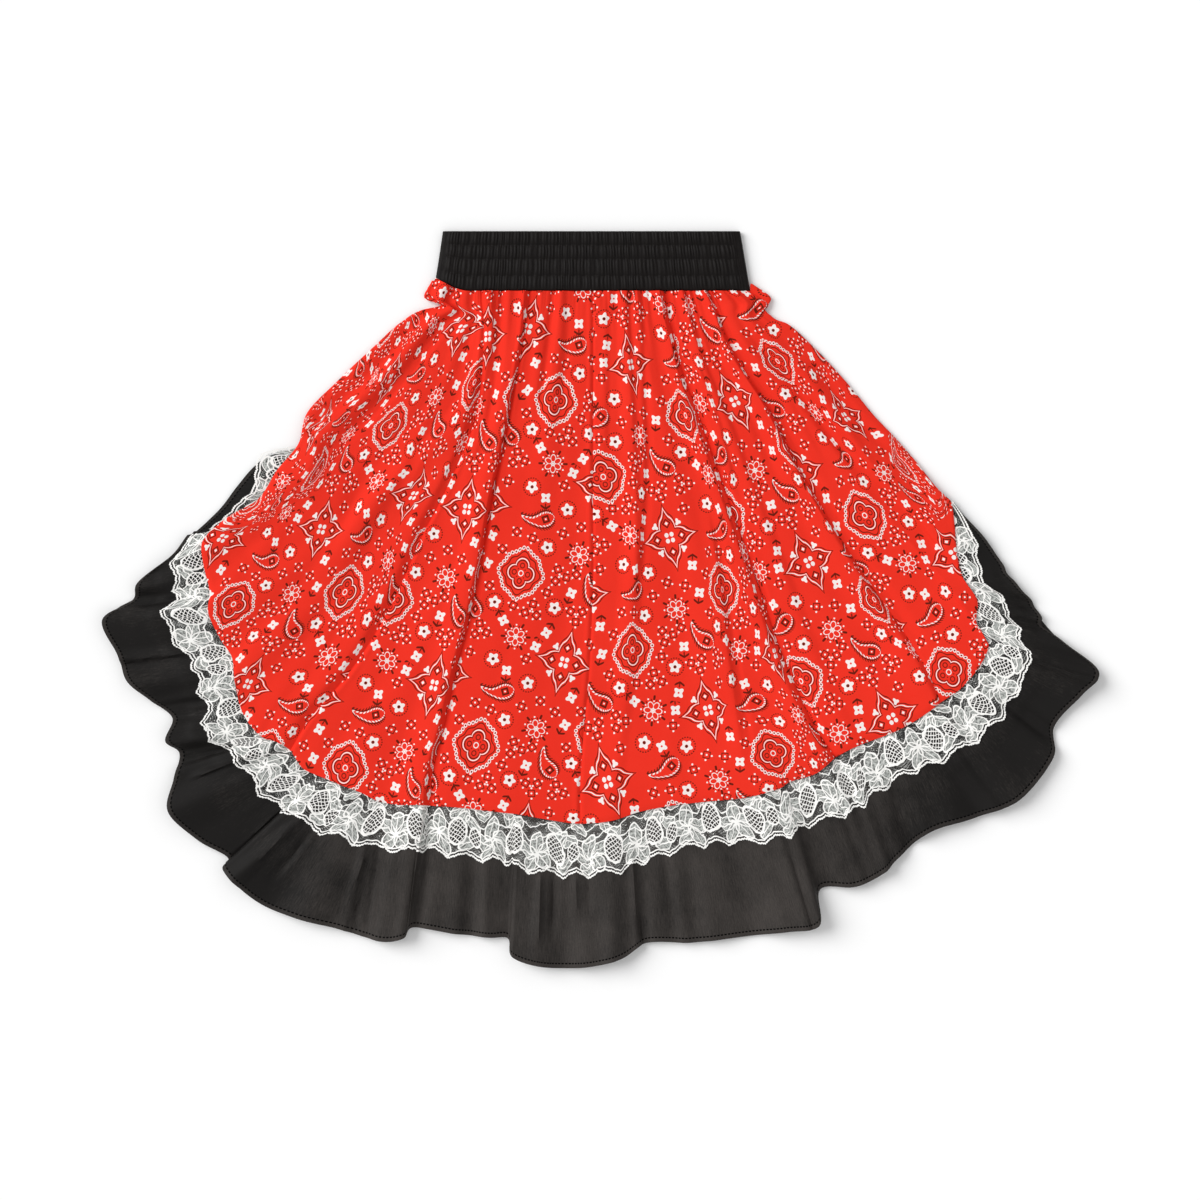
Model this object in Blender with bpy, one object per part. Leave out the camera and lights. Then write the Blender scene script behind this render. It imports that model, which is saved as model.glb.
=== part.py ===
"""Gored skirt laid flat: shirred waistband, twelve gores, lace edging and a gathered ruffle.

The skirt lies on Z = 0 with its back down. +Y points to the waist and +Z up.
The tables give sizes in millimetres; the meshes are in metres.
"""

import math
from collections import namedtuple

import bpy
import numpy as np

MM = 0.001

# Cloth walls and the spaces between them
CLOTH = 1.4
LACE = 1.0
SEAM_GAP = 0.3
LAYER_GAP = 0.3
HEM_OVERLAP = 8.0  # how far the red hem covers the lace and the ruffle's top edge
BACK_INSET = 0.99  # the back panels lie just inside the front's outline
BACK_RUFFLE_INSET = 0.985

# Heights of the layers, from the floor up
BACK_TOP = CLOTH
UPPER_BASE = BACK_TOP + LAYER_GAP  # underside of whatever lies on the back gores
BACK_LACE_BASE = 0.3
BACK_RUFFLE_TOP = UPPER_BASE + CLOTH
TURN_LACE_BASE = BACK_RUFFLE_TOP + LAYER_GAP
FRONT_BASE = BACK_TOP + 0.4
TURNED_BASE = TURN_LACE_BASE + LACE + 0.5  # front gore over the turned-up hem at the side
HEM_BASE = 6.8  # underside of the front gores at the hem, over lace and ruffles
LACE_DROP = 0.6  # from the hem's underside to the lace
PUFF = 2.5  # how far the front stands up from its layers between folds
EDGE_ROUND = 14.0  # width over which the front rounds down to the side folds

# Shirred waistband, a flattened tube
BAND_TOP = 367.0
BAND_BOTTOM = 308.0
BAND_HEIGHT = 6.8
BAND_WALL = 2.0
BAND_CHANNELS = 4
BAND_PUFF = 1.5
BAND_GATHERS = 38  # on the front; the back lies flat on the floor
BAND_GATHER_RISE = 0.9
BAND_BACK_COLUMNS = 12
BAND_FOLD_STEPS = 4  # facets round each side fold
BAND_SIDE_SHARE = 0.03  # share of the width over which the channels flatten at the sides
BAND_TOP_X = (-157.0, 140.0)
BAND_BOTTOM_X = (-164.0, 150.0)
BAND_CORNER = (0.10, 13.0)  # share of the width and rise of the left bottom corner

# Soft gathers under the waistband
GATHERS_PER_GORE = 3
GATHER_RISE = 1.3
GATHER_REACH = 0.24

# Lace
SCALLOP_PITCH = 27.0
SCALLOP_RISE = 3.0
SCALLOPED_LACE = (8.0, 30.0)  # the scallops grow to their full rise between these widths
LACE_LEAST = 1.5
LACE_MOST = 0.92  # share of the ruffle's length

# Ruffle
RUFFLE_BASE = BACK_RUFFLE_TOP + 0.9  # underside of the front ruffle over the raised back one
RUFFLE_LOW_BASE = UPPER_BASE + 0.7  # and past the lace, where both come down
RUFFLE_LAG = 6.0  # how far past the back ruffle the front one comes down
SETTLING_ROOM = (14.0, 30.0)  # it comes down only where this much ruffle shows past the lace
SETTLING_REACH = (3.0, 15.0)  # distances past the lace between which it comes down
WAVE_GROWTH = 0.8

Section = namedtuple("Section", "v left seam_1 seam_2 centre seam_4 seam_5 right")
# The gore seams and side folds of the front, from waist (v = 0) to hem (v = 1), as x, y
FRONT_SECTIONS = (
    Section(0.0, (-168, 318), (-118, 307.5), (-70, 307.5), (-7, 307.5),
            (64, 307.5), (108, 307.5), (152, 315)),
    Section(0.035, (-175, 300), (-117, 292), (-72, 290), (-7, 289),
            (67, 292), (114, 294), (171, 300)),
    Section(0.06, (-159, 294), (-116, 280), (-74, 277), (-7, 276),
            (69, 280), (118, 284), (165, 290)),
    Section(0.09, (-177, 289), (-116, 266), (-76, 262), (-7, 260),
            (73, 266), (122, 272), (172, 282)),
    Section(0.16, (-198, 277), (-117, 234), (-83, 225), (-7, 222),
            (81, 233), (136, 242), (187, 275)),
    Section(0.28, (-226, 252), (-126, 178), (-95, 164), (-7, 159),
            (101, 177), (167, 194), (211, 254)),
    Section(0.42, (-262, 218), (-151, 115), (-110, 92), (-7, 84),
            (124, 112), (196, 137), (236, 228)),
    Section(0.54, (-293, 185), (-179, 60), (-120, 30), (-7, 20),
            (144, 56), (224, 88), (256, 205)),
    Section(0.64, (-301, 155), (-199, 14), (-131, -21), (-9, -33),
            (160, 10), (249, 47), (274, 183)),
    Section(0.74, (-322, 129), (-223, -32), (-144, -72), (-12, -86),
            (175, -37), (276, 7), (295, 161)),
    Section(0.84, (-341, 100), (-254, -78), (-155, -124), (-17, -139),
            (194, -83), (304, -34), (315, 138)),
    Section(0.94, (-371, 82), (-292, -123), (-167, -175), (-20, -192),
            (216, -130), (328, -76), (337, 110)),
    Section(1.0, (-390, 67), (-309, -151), (-170, -206), (-20, -224),
            (235, -158), (340, -103), (350, 98)),
)

Station = namedtuple("Station", "hem_x hem_y out_x out_y lace rise")
# One row for each wave of the ruffle, from the left side fold round the hem to the right one:
# the gores' hem, the ruffle's edge, the width of lace that shows and the height of the wave
STATIONS = (
    Station(-390, 67, -412, 64, 5, 0),
    Station(-397, 54, -428, 43, 25, 2),
    Station(-395, 33, -460, 18, 32, 6),
    Station(-389, 7, -467, -1, 34, 1),
    Station(-390, -14, -496, -21, 45, 9),
    Station(-379, -39, -481, -56, 42, 4),
    Station(-367, -58, -472, -81, 39, 8),
    Station(-364, -81, -449, -101, 36, 5),
    Station(-359, -106, -427, -119, 34, 2),
    Station(-350, -124, -433, -141, 45, 9),
    Station(-336, -138, -420, -154, 44, 3),
    Station(-323, -142, -425, -179, 45, 8),
    Station(-309, -151, -430, -211, 48, 11),
    Station(-297, -168, -402, -240, 48, 6),
    Station(-284, -175, -372, -258, 48, 2),
    Station(-274, -179, -375, -271, 50, 10),
    Station(-254, -187, -342, -302, 52, 5),
    Station(-238, -193, -307, -317, 49, 9),
    Station(-220, -202, -262, -329, 46, 3),
    Station(-200, -205, -220, -341, 44, 9),
    Station(-180, -205, -196, -338, 46, 12),
    Station(-170, -206, -186, -328, 43, 2),
    Station(-140, -208, -145, -334, 48, 6),
    Station(-105, -212, -110, -338, 48, 4),
    Station(-86, -214, -92, -339, 50, 1),
    Station(-80, -215, -87, -357, 52, 13),
    Station(-52, -220, -55, -367, 53, 7),
    Station(-20, -224, -14, -367, 51, 10),
    Station(12, -221, 22, -358, 50, 12),
    Station(40, -212, 48, -343, 50, 2),
    Station(72, -206, 90, -343, 44, 6),
    Station(106, -202, 135, -338, 42, 4),
    Station(145, -198, 185, -332, 45, 8),
    Station(178, -189, 218, -325, 47, 14),
    Station(190, -182, 220, -290, 46, 2),
    Station(215, -174, 255, -287, 47, 6),
    Station(235, -158, 282, -274, 55, 11),
    Station(258, -146, 298, -258, 50, 4),
    Station(290, -134, 330, -232, 43, 8),
    Station(315, -121, 375, -218, 47, 5),
    Station(340, -103, 418, -200, 50, 9),
    Station(360, -89, 452, -158, 49, 6),
    Station(377, -69, 454, -126, 44, 2),
    Station(387, -49, 480, -96, 46, 7),
    Station(384, -39, 497, -72, 42, 11),
    Station(375, -23, 462, -42, 44, 5),
    Station(376, -1, 438, -13, 32, 2),
    Station(362, 21, 418, 12, 22, 6),
    Station(356, 43, 400, 38, 22, 3),
    Station(354, 67, 382, 63, 18, 3),
    Station(352, 87, 362, 85, 9, 1),
    Station(350, 98, 354, 96, 3, 0),
)
LAST_STATION = len(STATIONS) - 1

# The station where each gore's seams meet the hem, and the columns of points across each gore
GORE_ENDS = (0, 12, 21, 27, 36, 40, LAST_STATION)
GORE_COLUMNS = (12, 9, 12, 18, 8, 11)
RUFFLE_JOIN = 25  # the ruffle's strips are joined under the step in the hem
LACE_JOIN = 21

Fold = namedtuple("Fold", "at_waist at_hem waist middle hem narrow wide lean")
# Ridges of the front, placed by gore (2.5 is the middle of the third): their rise at the waist,
# halfway and at the hem, their half width at the waist and at the hem, and which way they lean
FOLDS = (
    Fold(0.30, 0.08, 4.0, 7.0, 3.0, 9, 26, 0.2),
    Fold(1.10, 0.30, 4.0, 8.0, 6.0, 9, 30, -0.3),
    Fold(0.72, 0.62, 2.0, 4.0, 7.0, 8, 30, 0.2),
    Fold(0.93, 0.95, 2.0, 6.0, 6.0, 7, 24, 0.6),
    Fold(1.55, 1.50, 4.0, 2.0, 3.0, 8, 34, 0.0),
    Fold(1.90, 1.94, 3.0, 7.0, 8.0, 8, 30, 0.7),
    Fold(2.50, 2.45, 4.0, 3.0, 4.0, 9, 40, 0.0),
    Fold(3.45, 3.12, 4.0, 4.0, 1.0, 8, 22, 0.5),
    Fold(3.62, 3.72, 2.0, 3.0, 7.0, 9, 30, 0.6),
    Fold(3.93, 3.95, 3.0, 6.0, 5.0, 7, 24, 0.8),
    Fold(4.40, 4.20, 4.0, 4.0, 2.0, 7, 20, 0.5),
    Fold(4.93, 4.93, 4.0, 6.0, 5.0, 7, 26, 0.7),
    Fold(5.55, 5.75, 4.0, 7.0, 3.0, 10, 26, 0.0),
    Fold(5.30, 5.42, 2.0, 4.0, 7.0, 8, 26, 0.3),
)

Turn = namedtuple("Turn", "inner lace out")
# The stretch of hem that is turned forward at the left side and shows past the front's fold
TURNS = (
    Turn((-286, 146), (-304, 153), (-302, 151)),
    Turn((-298, 132), (-334, 147), (-328, 143)),
    Turn((-304, 120), (-344, 137), (-344, 133)),
    Turn((-312, 108), (-347, 112), (-366, 108)),
    Turn((-326, 96), (-356, 101), (-382, 91)),
    Turn((-350, 83), (-376, 89), (-404, 75)),
)

# Flat pieces of the back need only some of the stations and sections
BACK_STATION_STEP = 3
BACK_SECTION_STEP = 3


def smooth(low, high, value):
    """0 below low, 1 above high, and an even S between them."""
    share = min(max((value - low) / (high - low), 0.0), 1.0)
    return share * share * (3.0 - 2.0 * share)


def mix(first, second, share):
    return first + (second - first) * share


def curve_value(rows, place):
    """Catmull-Rom curve through rows of numbers, at a place counted in rows."""
    index = min(int(place), len(rows) - 2)
    share = place - index
    before = rows[max(index - 1, 0)]
    start, end = rows[index], rows[index + 1]
    after = rows[min(index + 2, len(rows) - 1)]
    return 0.5 * (
        2.0 * start
        + (end - before) * share
        + (2.0 * before - 5.0 * start + 4.0 * end - after) * share**2
        + (3.0 * (start - end) + after - before) * share**3
    )


STATION_ROWS = np.array(STATIONS, dtype=float)
SECTION_V = np.array([section.v for section in FRONT_SECTIONS])
SEAM_LINES = np.array([section[1:] for section in FRONT_SECTIONS], dtype=float)
HEM_LENGTH = np.concatenate(
    ([0.0], np.cumsum(np.linalg.norm(np.diff(STATION_ROWS[:, :2], axis=0), axis=1)))
)


def station(place):
    return Station(*curve_value(STATION_ROWS, place))


def hem_length(place):
    """How far along the hem a station is."""
    return float(np.interp(place, range(LAST_STATION + 1), HEM_LENGTH))


def gore_place(place):
    """A station's place counted in gores: 2.5 is the middle of the third gore's hem."""
    gore = next(i for i in range(6) if place <= GORE_ENDS[i + 1])
    start, end = hem_length(GORE_ENDS[gore]), hem_length(GORE_ENDS[gore + 1])
    return gore + (hem_length(place) - start) / (end - start)


def seam_lines(v):
    """Where the seven lines from waist to hem are at this section."""
    return np.array([
        [np.interp(v, SECTION_V, SEAM_LINES[:, line, axis]) for axis in (0, 1)]
        for line in range(7)
    ])


def across(place, v):
    """Along a section: how far a place counted in gores is from the left side, and the whole."""
    lines = seam_lines(v)
    steps = np.concatenate(([0.0], np.cumsum(np.linalg.norm(np.diff(lines, axis=0), axis=1))))
    return float(np.interp(place, range(7), steps)), float(steps[-1])


def band_edge(x):
    """The waistband's lower edge, which rises at its left corner."""
    share = (x - BAND_BOTTOM_X[0]) / (BAND_BOTTOM_X[1] - BAND_BOTTOM_X[0])
    corner, rise = BAND_CORNER
    return BAND_BOTTOM + rise * max(1.0 - max(share, 0.0) / corner, 0.0) ** 1.5


def body_plan(place, v):
    """A point of the front from above. The rows fan out from the waist to the hem's true curve."""
    gores = gore_place(place)
    gore = min(int(gores), 5)
    share = gores - gore

    def between(lines):
        return mix(lines[gore], lines[gore + 1], share)

    here, waist, hem = between(seam_lines(v)), between(seam_lines(0.0)), between(seam_lines(1.0))
    row = station(place)
    point = here + (np.array([row.hem_x, row.hem_y]) - hem) * v * v
    if BAND_BOTTOM_X[0] < waist[0] < BAND_BOTTOM_X[1]:
        point[1] += (band_edge(waist[0]) - 0.5 - waist[1]) * (1.0 - v) ** 8
    return point


def fold_rise(fold, gores, v):
    """The height of one ridge at a point."""
    centre = across(mix(fold.at_waist, fold.at_hem, v), v)[0]
    distance = across(gores, v)[0] - centre
    half = mix(fold.narrow, fold.wide, v)
    half *= 1.0 - 0.7 * fold.lean if distance > 0 else 1.0 + 0.5 * fold.lean
    if abs(distance) >= half:
        return 0.0
    rise = float(np.interp(v, (0.0, 0.5, 1.0), (fold.waist, fold.middle, fold.hem)))
    return rise * math.cos(math.pi / 2.0 * distance / half) ** 2


def body_height(place, v):
    """The upper side of the front above the floor."""
    gores = gore_place(place)
    lowest = mix(FRONT_BASE, HEM_BASE, smooth(0.80, 0.96, v))
    turned = smooth(0.50, 0.60, v) * smooth(0.55, 0.30, gores)
    lowest = max(lowest, mix(FRONT_BASE, TURNED_BASE, turned))
    distance, whole = across(gores, v)
    edge = min(min(distance, whole - distance) / EDGE_ROUND, 1.0)
    rounding = math.sqrt(max(1.0 - (1.0 - edge) ** 2, 0.0))
    gathers = GATHER_RISE * (1.0 - math.cos(2.0 * math.pi * GATHERS_PER_GORE * gores))
    gathers *= max(1.0 - v / GATHER_REACH, 0.0) ** 2
    folds = sum(fold_rise(fold, gores, v) for fold in FOLDS)
    return lowest + CLOTH + rounding * (PUFF + gathers + folds)


def seat_v(place):
    """The row where the ruffle's top edge is sewn in, just inside the hem."""
    length = np.linalg.norm(body_plan(place, 1.0) - body_plan(place, 0.94)) / 0.06
    return 1.0 - HEM_OVERLAP / float(length)


def front_point(place, v):
    return np.array([*body_plan(place, v), body_height(place, v)])


def gore_stations(gore):
    return np.linspace(GORE_ENDS[gore], GORE_ENDS[gore + 1], GORE_COLUMNS[gore] + 1)


FRONT_STATIONS = np.unique(np.concatenate([gore_stations(gore) for gore in range(6)]))
RUFFLE_STATIONS = np.arange(0.0, LAST_STATION + 0.25, 0.5)
SEWN_ROWS = 2  # rows of the ruffle and the lace that lie under the hem
LACE_ROWS = 4


def front_rows(place):
    """The rows of points from waist to hem, with one where the ruffle is sewn in."""
    return [*SECTION_V[:-1], seat_v(place), 1.0]


def front_grid():
    """The upper points of all the front gores, and their normals."""
    grid = np.array([
        [front_point(place, front_rows(place)[row]) for place in FRONT_STATIONS]
        for row in range(len(SECTION_V) + 1)
    ])
    return grid, grid_normals(grid)


def seat_point(underside, place, from_hem):
    """Where the ruffle's upper side is under the hem: 0 rows from it, or 1."""
    row = underside[-1 - from_hem]
    point = np.array([np.interp(place, FRONT_STATIONS, row[:, axis]) for axis in range(3)])
    point[2] -= LACE_DROP + LACE + LAYER_GAP
    return point


def ruffle_length(row):
    return math.hypot(row.out_x - row.hem_x, row.out_y - row.hem_y)


def settled(row, distance):
    """How far the ruffle has come down to the floor at this distance from the hem, 0 to 1."""
    room = smooth(*SETTLING_ROOM, ruffle_length(row) - row.lace)
    return room * smooth(*SETTLING_REACH, distance - row.lace)


def lace_width(place):
    """The lace that shows past the hem, with its scallops."""
    row = station(place)
    scallop = SCALLOP_RISE * math.cos(2.0 * math.pi * hem_length(place) / SCALLOP_PITCH)
    return max(row.lace + scallop * smooth(*SCALLOPED_LACE, row.lace), LACE_LEAST)


def ruffle_point(hem, place, distance):
    """The upper side of the front ruffle at a distance past the hem."""
    row = station(place)
    share = distance / ruffle_length(row)
    lowest = mix(RUFFLE_BASE, RUFFLE_LOW_BASE, settled(row, distance - RUFFLE_LAG)) + CLOTH
    height = mix(hem[2], lowest, smooth(0.0, 0.9, share))
    height += max(row.rise, 0.0) * share**WAVE_GROWTH
    return np.array([*mix(hem[:2], (row.out_x, row.out_y), share), height])


def ruffle_rows(place):
    """Distances past the hem for the ruffle's rows: across the lace, then to its own edge."""
    length = ruffle_length(station(place))
    lace = min(lace_width(place), LACE_MOST * length)
    return [0.5 * lace, lace, *(mix(lace, length, share) for share in (0.33, 0.67, 1.0))]


def front_ruffle_grid():
    """The ruffle's upper points and normals. Its two rows under the hem keep to the hem's form."""
    grid, normals = front_grid()
    underside = grid - normals * CLOTH
    rows = []
    for place in RUFFLE_STATIONS:
        inner, hem = (seat_point(underside, place, from_hem) for from_hem in (1, 0))
        loose = [ruffle_point(hem, place, distance) for distance in ruffle_rows(place)]
        rows.append([inner, hem, *loose])
    ruffle = np.array(rows).transpose(1, 0, 2)
    normals = grid_normals(ruffle)
    normals[:SEWN_ROWS] = (0.0, 0.0, 1.0)
    return ruffle, normals


def back_plan(point, scale=BACK_INSET):
    """A point of the front's plan moved in for the back, below the waistband's straight edge."""
    waist = BAND_BOTTOM - 0.5
    x, y = point[:2]
    return np.array([x * scale, min(waist - (waist - y) * scale, waist)])


def back_ruffle_grid():
    rows = []
    for place in back_stations():
        row = station(place)
        hem = back_plan((row.hem_x, row.hem_y))
        out = back_plan((row.out_x, row.out_y), BACK_RUFFLE_INSET)
        length = float(np.linalg.norm(out - hem))
        inner = back_plan(body_plan(place, seat_v(place)))
        column = [[*inner, BACK_RUFFLE_TOP], [*hem, BACK_RUFFLE_TOP]]
        stops = [row.lace + reach for reach in SETTLING_REACH]
        if length < row.lace + SETTLING_ROOM[1]:
            stops = [share * length for share in (0.6, 0.8)]
        for distance in (*stops, length):
            height = BACK_RUFFLE_TOP - UPPER_BASE * settled(row, distance)
            column.append([*mix(hem, out, distance / length), height])
        rows.append(column)
    return np.array(rows).transpose(1, 0, 2)


def back_lace_grid():
    rows = []
    for place in back_stations():
        row = station(place)
        hem = back_plan((row.hem_x, row.hem_y))
        out = back_plan((row.out_x, row.out_y), BACK_RUFFLE_INSET)
        length = float(np.linalg.norm(out - hem))
        stops = (SEAM_GAP, max(row.lace, LACE_LEAST + SEAM_GAP))
        rows.append([[*mix(hem, out, stop / length), BACK_LACE_BASE + LACE] for stop in stops])
    return np.array(rows).transpose(1, 0, 2)


def back_stations():
    inner = set(range(0, LAST_STATION, BACK_STATION_STEP)) | set(GORE_ENDS)
    return sorted(inner | {RUFFLE_JOIN, LACE_JOIN})


def grid_normals(grid):
    """Upward normals of a grid of points whose first row is nearest the waist."""
    down = np.gradient(grid, axis=0)
    right = np.gradient(grid, axis=1)
    normals = np.cross(down, right)
    normals /= np.linalg.norm(normals, axis=2, keepdims=True)
    return normals * np.sign(normals[..., 2:])


def draw_in(grid, columns, gap=SEAM_GAP):
    """A slice of the grid by columns, its two side edges drawn in by half a seam's gap."""
    part = grid[:, columns].copy()
    for edge, inward in ((0, 1), (-1, -2)):
        step = part[:, inward] - part[:, edge]
        part[:, edge] += step / np.linalg.norm(step, axis=1, keepdims=True) * gap / 2.0
    return part


def wall(name, top, bottom, material):
    """A closed piece of cloth between two like grids of points."""
    rows, columns = top.shape[:2]
    count = rows * columns
    points = np.concatenate((top.reshape(-1, 3), bottom.reshape(-1, 3))) * MM
    faces = []
    for i in range(rows - 1):
        for j in range(columns - 1):
            a, b = i * columns + j, i * columns + j + 1
            c, d = a + columns, b + columns
            faces.append((a, c, d, b))
            faces.append((count + a, count + b, count + d, count + c))
    rim = list(range(columns))
    rim += [i * columns + columns - 1 for i in range(1, rows)]
    rim += [(rows - 1) * columns + j for j in range(columns - 2, -1, -1)]
    rim += [i * columns for i in range(rows - 2, 0, -1)]
    for start, end in zip(rim, rim[1:] + rim[:1]):
        faces.append((start, end, count + end, count + start))
    return solid(name, points, faces, material)


def solid(name, points, faces, material):
    mesh = bpy.data.meshes.new(name)
    mesh.from_pydata([tuple(point) for point in points], [], faces)
    mesh.materials.append(material)
    mesh.shade_smooth()
    item = bpy.data.objects.new(name, mesh)
    bpy.context.scene.collection.objects.link(item)
    return item


def plain_material(name, color, roughness):
    material = bpy.data.materials.new(name)
    material.use_nodes = True
    shader = material.node_tree.nodes["Principled BSDF"]
    shader.inputs["Base Color"].default_value = (*color, 1.0)
    shader.inputs["Roughness"].default_value = roughness
    shader.inputs["Metallic"].default_value = 0.0
    return material


def columns_between(stations, start, end):
    return np.flatnonzero((np.array(stations) >= start - 1e-6) & (np.array(stations) <= end + 1e-6))


def make_front_gores(material):
    grid, normals = front_grid()
    for gore in range(6):
        columns = columns_between(FRONT_STATIONS, GORE_ENDS[gore], GORE_ENDS[gore + 1])
        top = draw_in(grid, columns)
        wall(f"gore_front_{gore + 1}", top, top - normals[:, columns] * CLOTH, material)


def make_back_gores(material):
    places = back_stations()
    sections = [*SECTION_V[:-1:BACK_SECTION_STEP], 1.0]
    grid = np.array([[[*back_plan(body_plan(s, v)), BACK_TOP] for s in places] for v in sections])
    for gore in range(6):
        columns = columns_between(places, GORE_ENDS[gore], GORE_ENDS[gore + 1])
        top = draw_in(grid, columns)
        wall(f"gore_back_{gore + 1}", top, top - (0, 0, CLOTH), material)


def make_ruffles(material):
    front, normals = front_ruffle_grid()
    back = back_ruffle_grid()
    ends = (("left", 0, RUFFLE_JOIN), ("right", RUFFLE_JOIN, LAST_STATION))
    for side, start, end in ends:
        columns = columns_between(RUFFLE_STATIONS, start, end)
        top = draw_in(front, columns)
        wall(f"ruffle_front_{side}", top, top - normals[:, columns] * CLOTH, material)
        top = draw_in(back, columns_between(back_stations(), start, end))
        wall(f"ruffle_back_{side}", top, top - (0, 0, CLOTH), material)


def make_lace(material):
    """The lace on the front ruffle is made from the ruffle's own points, moved out."""
    ruffle, normals = front_ruffle_grid()
    normals = normals[:LACE_ROWS]
    under = ruffle[:LACE_ROWS] + normals * LAYER_GAP
    back = back_lace_grid()
    ends = (("left", 0, LACE_JOIN), ("right", LACE_JOIN, LAST_STATION))
    for side, start, end in ends:
        columns = columns_between(RUFFLE_STATIONS, start, end)
        bottom = draw_in(under, columns)
        wall(f"lace_front_{side}", bottom + normals[:, columns] * LACE, bottom, material)
        top = draw_in(back, columns_between(back_stations(), start, end))
        wall(f"lace_back_{side}", top, top - (0, 0, LACE), material)


def make_turned_hem(cloth_material, lace_material):
    """The turned-up ruffle and lace at the left side, flat between the back and the front."""
    inner, lace, out = (np.array([getattr(turn, part) for turn in TURNS]) for part in Turn._fields)
    for name, edges, base, thickness, material in (
        ("ruffle_turned", (inner, mix(inner, out, 0.5), out), UPPER_BASE, CLOTH, cloth_material),
        ("lace_turned", (inner, mix(inner, lace, 0.5), lace), TURN_LACE_BASE, LACE, lace_material),
    ):
        top = np.array([
            [[*point, base + thickness] for point in edge] for edge in edges
        ])
        wall(name, top, top - (0, 0, thickness), material)


def band_outline(share, rib):
    """The waistband's outer and inner loops at a share of its height below the top.

    rib is 0 on a row of stitching and 1 in the middle of a channel.
    """
    left, right = (mix(BAND_TOP_X[i], BAND_BOTTOM_X[i], share) for i in (0, 1))
    outer, inner = [], []
    front_columns = 2 * BAND_GATHERS
    radius, inner_radius = BAND_HEIGHT / 2.0, BAND_HEIGHT / 2.0 - BAND_WALL
    left, right = left + radius, right - radius

    def fold_round(centre, start):
        for k in range(1, BAND_FOLD_STEPS):
            angle = start - math.pi * k / BAND_FOLD_STEPS
            for loop, size in ((outer, radius), (inner, inner_radius)):
                loop.append((centre + size * math.cos(angle), radius + size * math.sin(angle)))

    for j in range(front_columns + 1):
        x = mix(left, right, j / front_columns)
        gather = BAND_GATHER_RISE * rib if j % 2 and 1 < j < front_columns - 1 else 0.0
        from_side = min(j, front_columns - j) / front_columns
        puff = BAND_PUFF * rib * smooth(0.0, BAND_SIDE_SHARE, from_side)
        outer.append((x, BAND_HEIGHT + puff + gather))
        inner.append((x, BAND_HEIGHT - BAND_WALL))
    fold_round(right, math.pi / 2.0)
    for j in range(BAND_BACK_COLUMNS + 1):
        x = mix(right, left, j / BAND_BACK_COLUMNS)
        outer.append((x, 0.0))
        inner.append((x, BAND_WALL))
    fold_round(left, -math.pi / 2.0)
    return outer, inner


def band_y(x, share):
    """Down the waistband at a share of its height, allowing for its raised corner."""
    return mix(BAND_TOP, band_edge(x), share)


def band_ring(share, rib, inside=False):
    outer, inner = band_outline(share, rib)
    return [(x, band_y(x, share), z) for x, z in (inner if inside else outer)]


def make_waistband(material):
    """A flattened tube: channels and gathers on the outside of a plain inner wall."""
    steps = ((0.0, 0.0), (0.3, 1.0), (0.7, 1.0))
    rows = [((c + s) / BAND_CHANNELS, rib) for c in range(BAND_CHANNELS) for s, rib in steps]
    rings = [band_ring(share, rib) for share, rib in (*rows, (1.0, 0.0))]
    rings += [band_ring(share, 0.0, inside=True) for share in (1.0, 0.0)]
    around = len(rings[0])
    points = np.array([point for ring in rings for point in ring]) * MM
    faces = []
    for ring in range(len(rings)):
        below = (ring + 1) % len(rings)
        for j in range(around):
            k = (j + 1) % around
            faces.append((ring * around + j, below * around + j, below * around + k, ring * around + k))
    solid("waistband", points, faces, material)


def main():
    for item in list(bpy.data.objects):
        bpy.data.objects.remove(item, do_unlink=True)
    print_cloth = plain_material("print_cotton", (0.80, 0.045, 0.030), 0.75)
    black_cloth = plain_material("black_broadcloth", (0.028, 0.027, 0.026), 0.70)
    band_cloth = plain_material("black_satin", (0.015, 0.015, 0.016), 0.45)
    lace_cloth = plain_material("white_lace", (0.80, 0.80, 0.78), 0.80)
    make_waistband(band_cloth)
    make_front_gores(print_cloth)
    make_back_gores(print_cloth)
    make_ruffles(black_cloth)
    make_lace(lace_cloth)
    make_turned_hem(black_cloth, lace_cloth)


main()
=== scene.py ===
"""Dresses the laid-out gored skirt: printed gores, black ruffle, corded lace and shirred band.

Tables are in millimetres, meshes in metres. +Y points to the waist and the back lies on Z = 0.
"""

import functools
import math
from collections import namedtuple

import bpy
import numpy as np
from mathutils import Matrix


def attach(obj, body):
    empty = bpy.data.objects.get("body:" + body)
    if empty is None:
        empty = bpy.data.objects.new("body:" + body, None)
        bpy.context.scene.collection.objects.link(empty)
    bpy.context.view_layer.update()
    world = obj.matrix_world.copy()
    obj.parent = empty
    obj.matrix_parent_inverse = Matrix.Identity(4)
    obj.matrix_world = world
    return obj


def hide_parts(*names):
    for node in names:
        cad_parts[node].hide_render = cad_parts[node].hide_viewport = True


bl_info = {
    "name": "Gored Skirt",
    "version": (1, 0, 0),
    "blender": (4, 5, 0),
    "location": "View3D > Sidebar > Skirt",
    "description": "Builds a gored skirt laid flat, with its print, lace, ruffle and waistband",
    "category": "Object",
}

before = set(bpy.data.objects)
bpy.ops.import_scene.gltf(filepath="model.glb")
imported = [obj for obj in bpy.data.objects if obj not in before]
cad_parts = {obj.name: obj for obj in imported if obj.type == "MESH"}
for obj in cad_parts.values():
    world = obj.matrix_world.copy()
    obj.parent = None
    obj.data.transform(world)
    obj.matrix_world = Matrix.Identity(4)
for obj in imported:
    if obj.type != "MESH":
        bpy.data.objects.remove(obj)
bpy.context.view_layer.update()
MM = 0.001

# Walls of the solids and the gap between their layers
WALL = 1.4
LACE_WALL = 1.0
LAYER_GAP = 0.3
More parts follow.
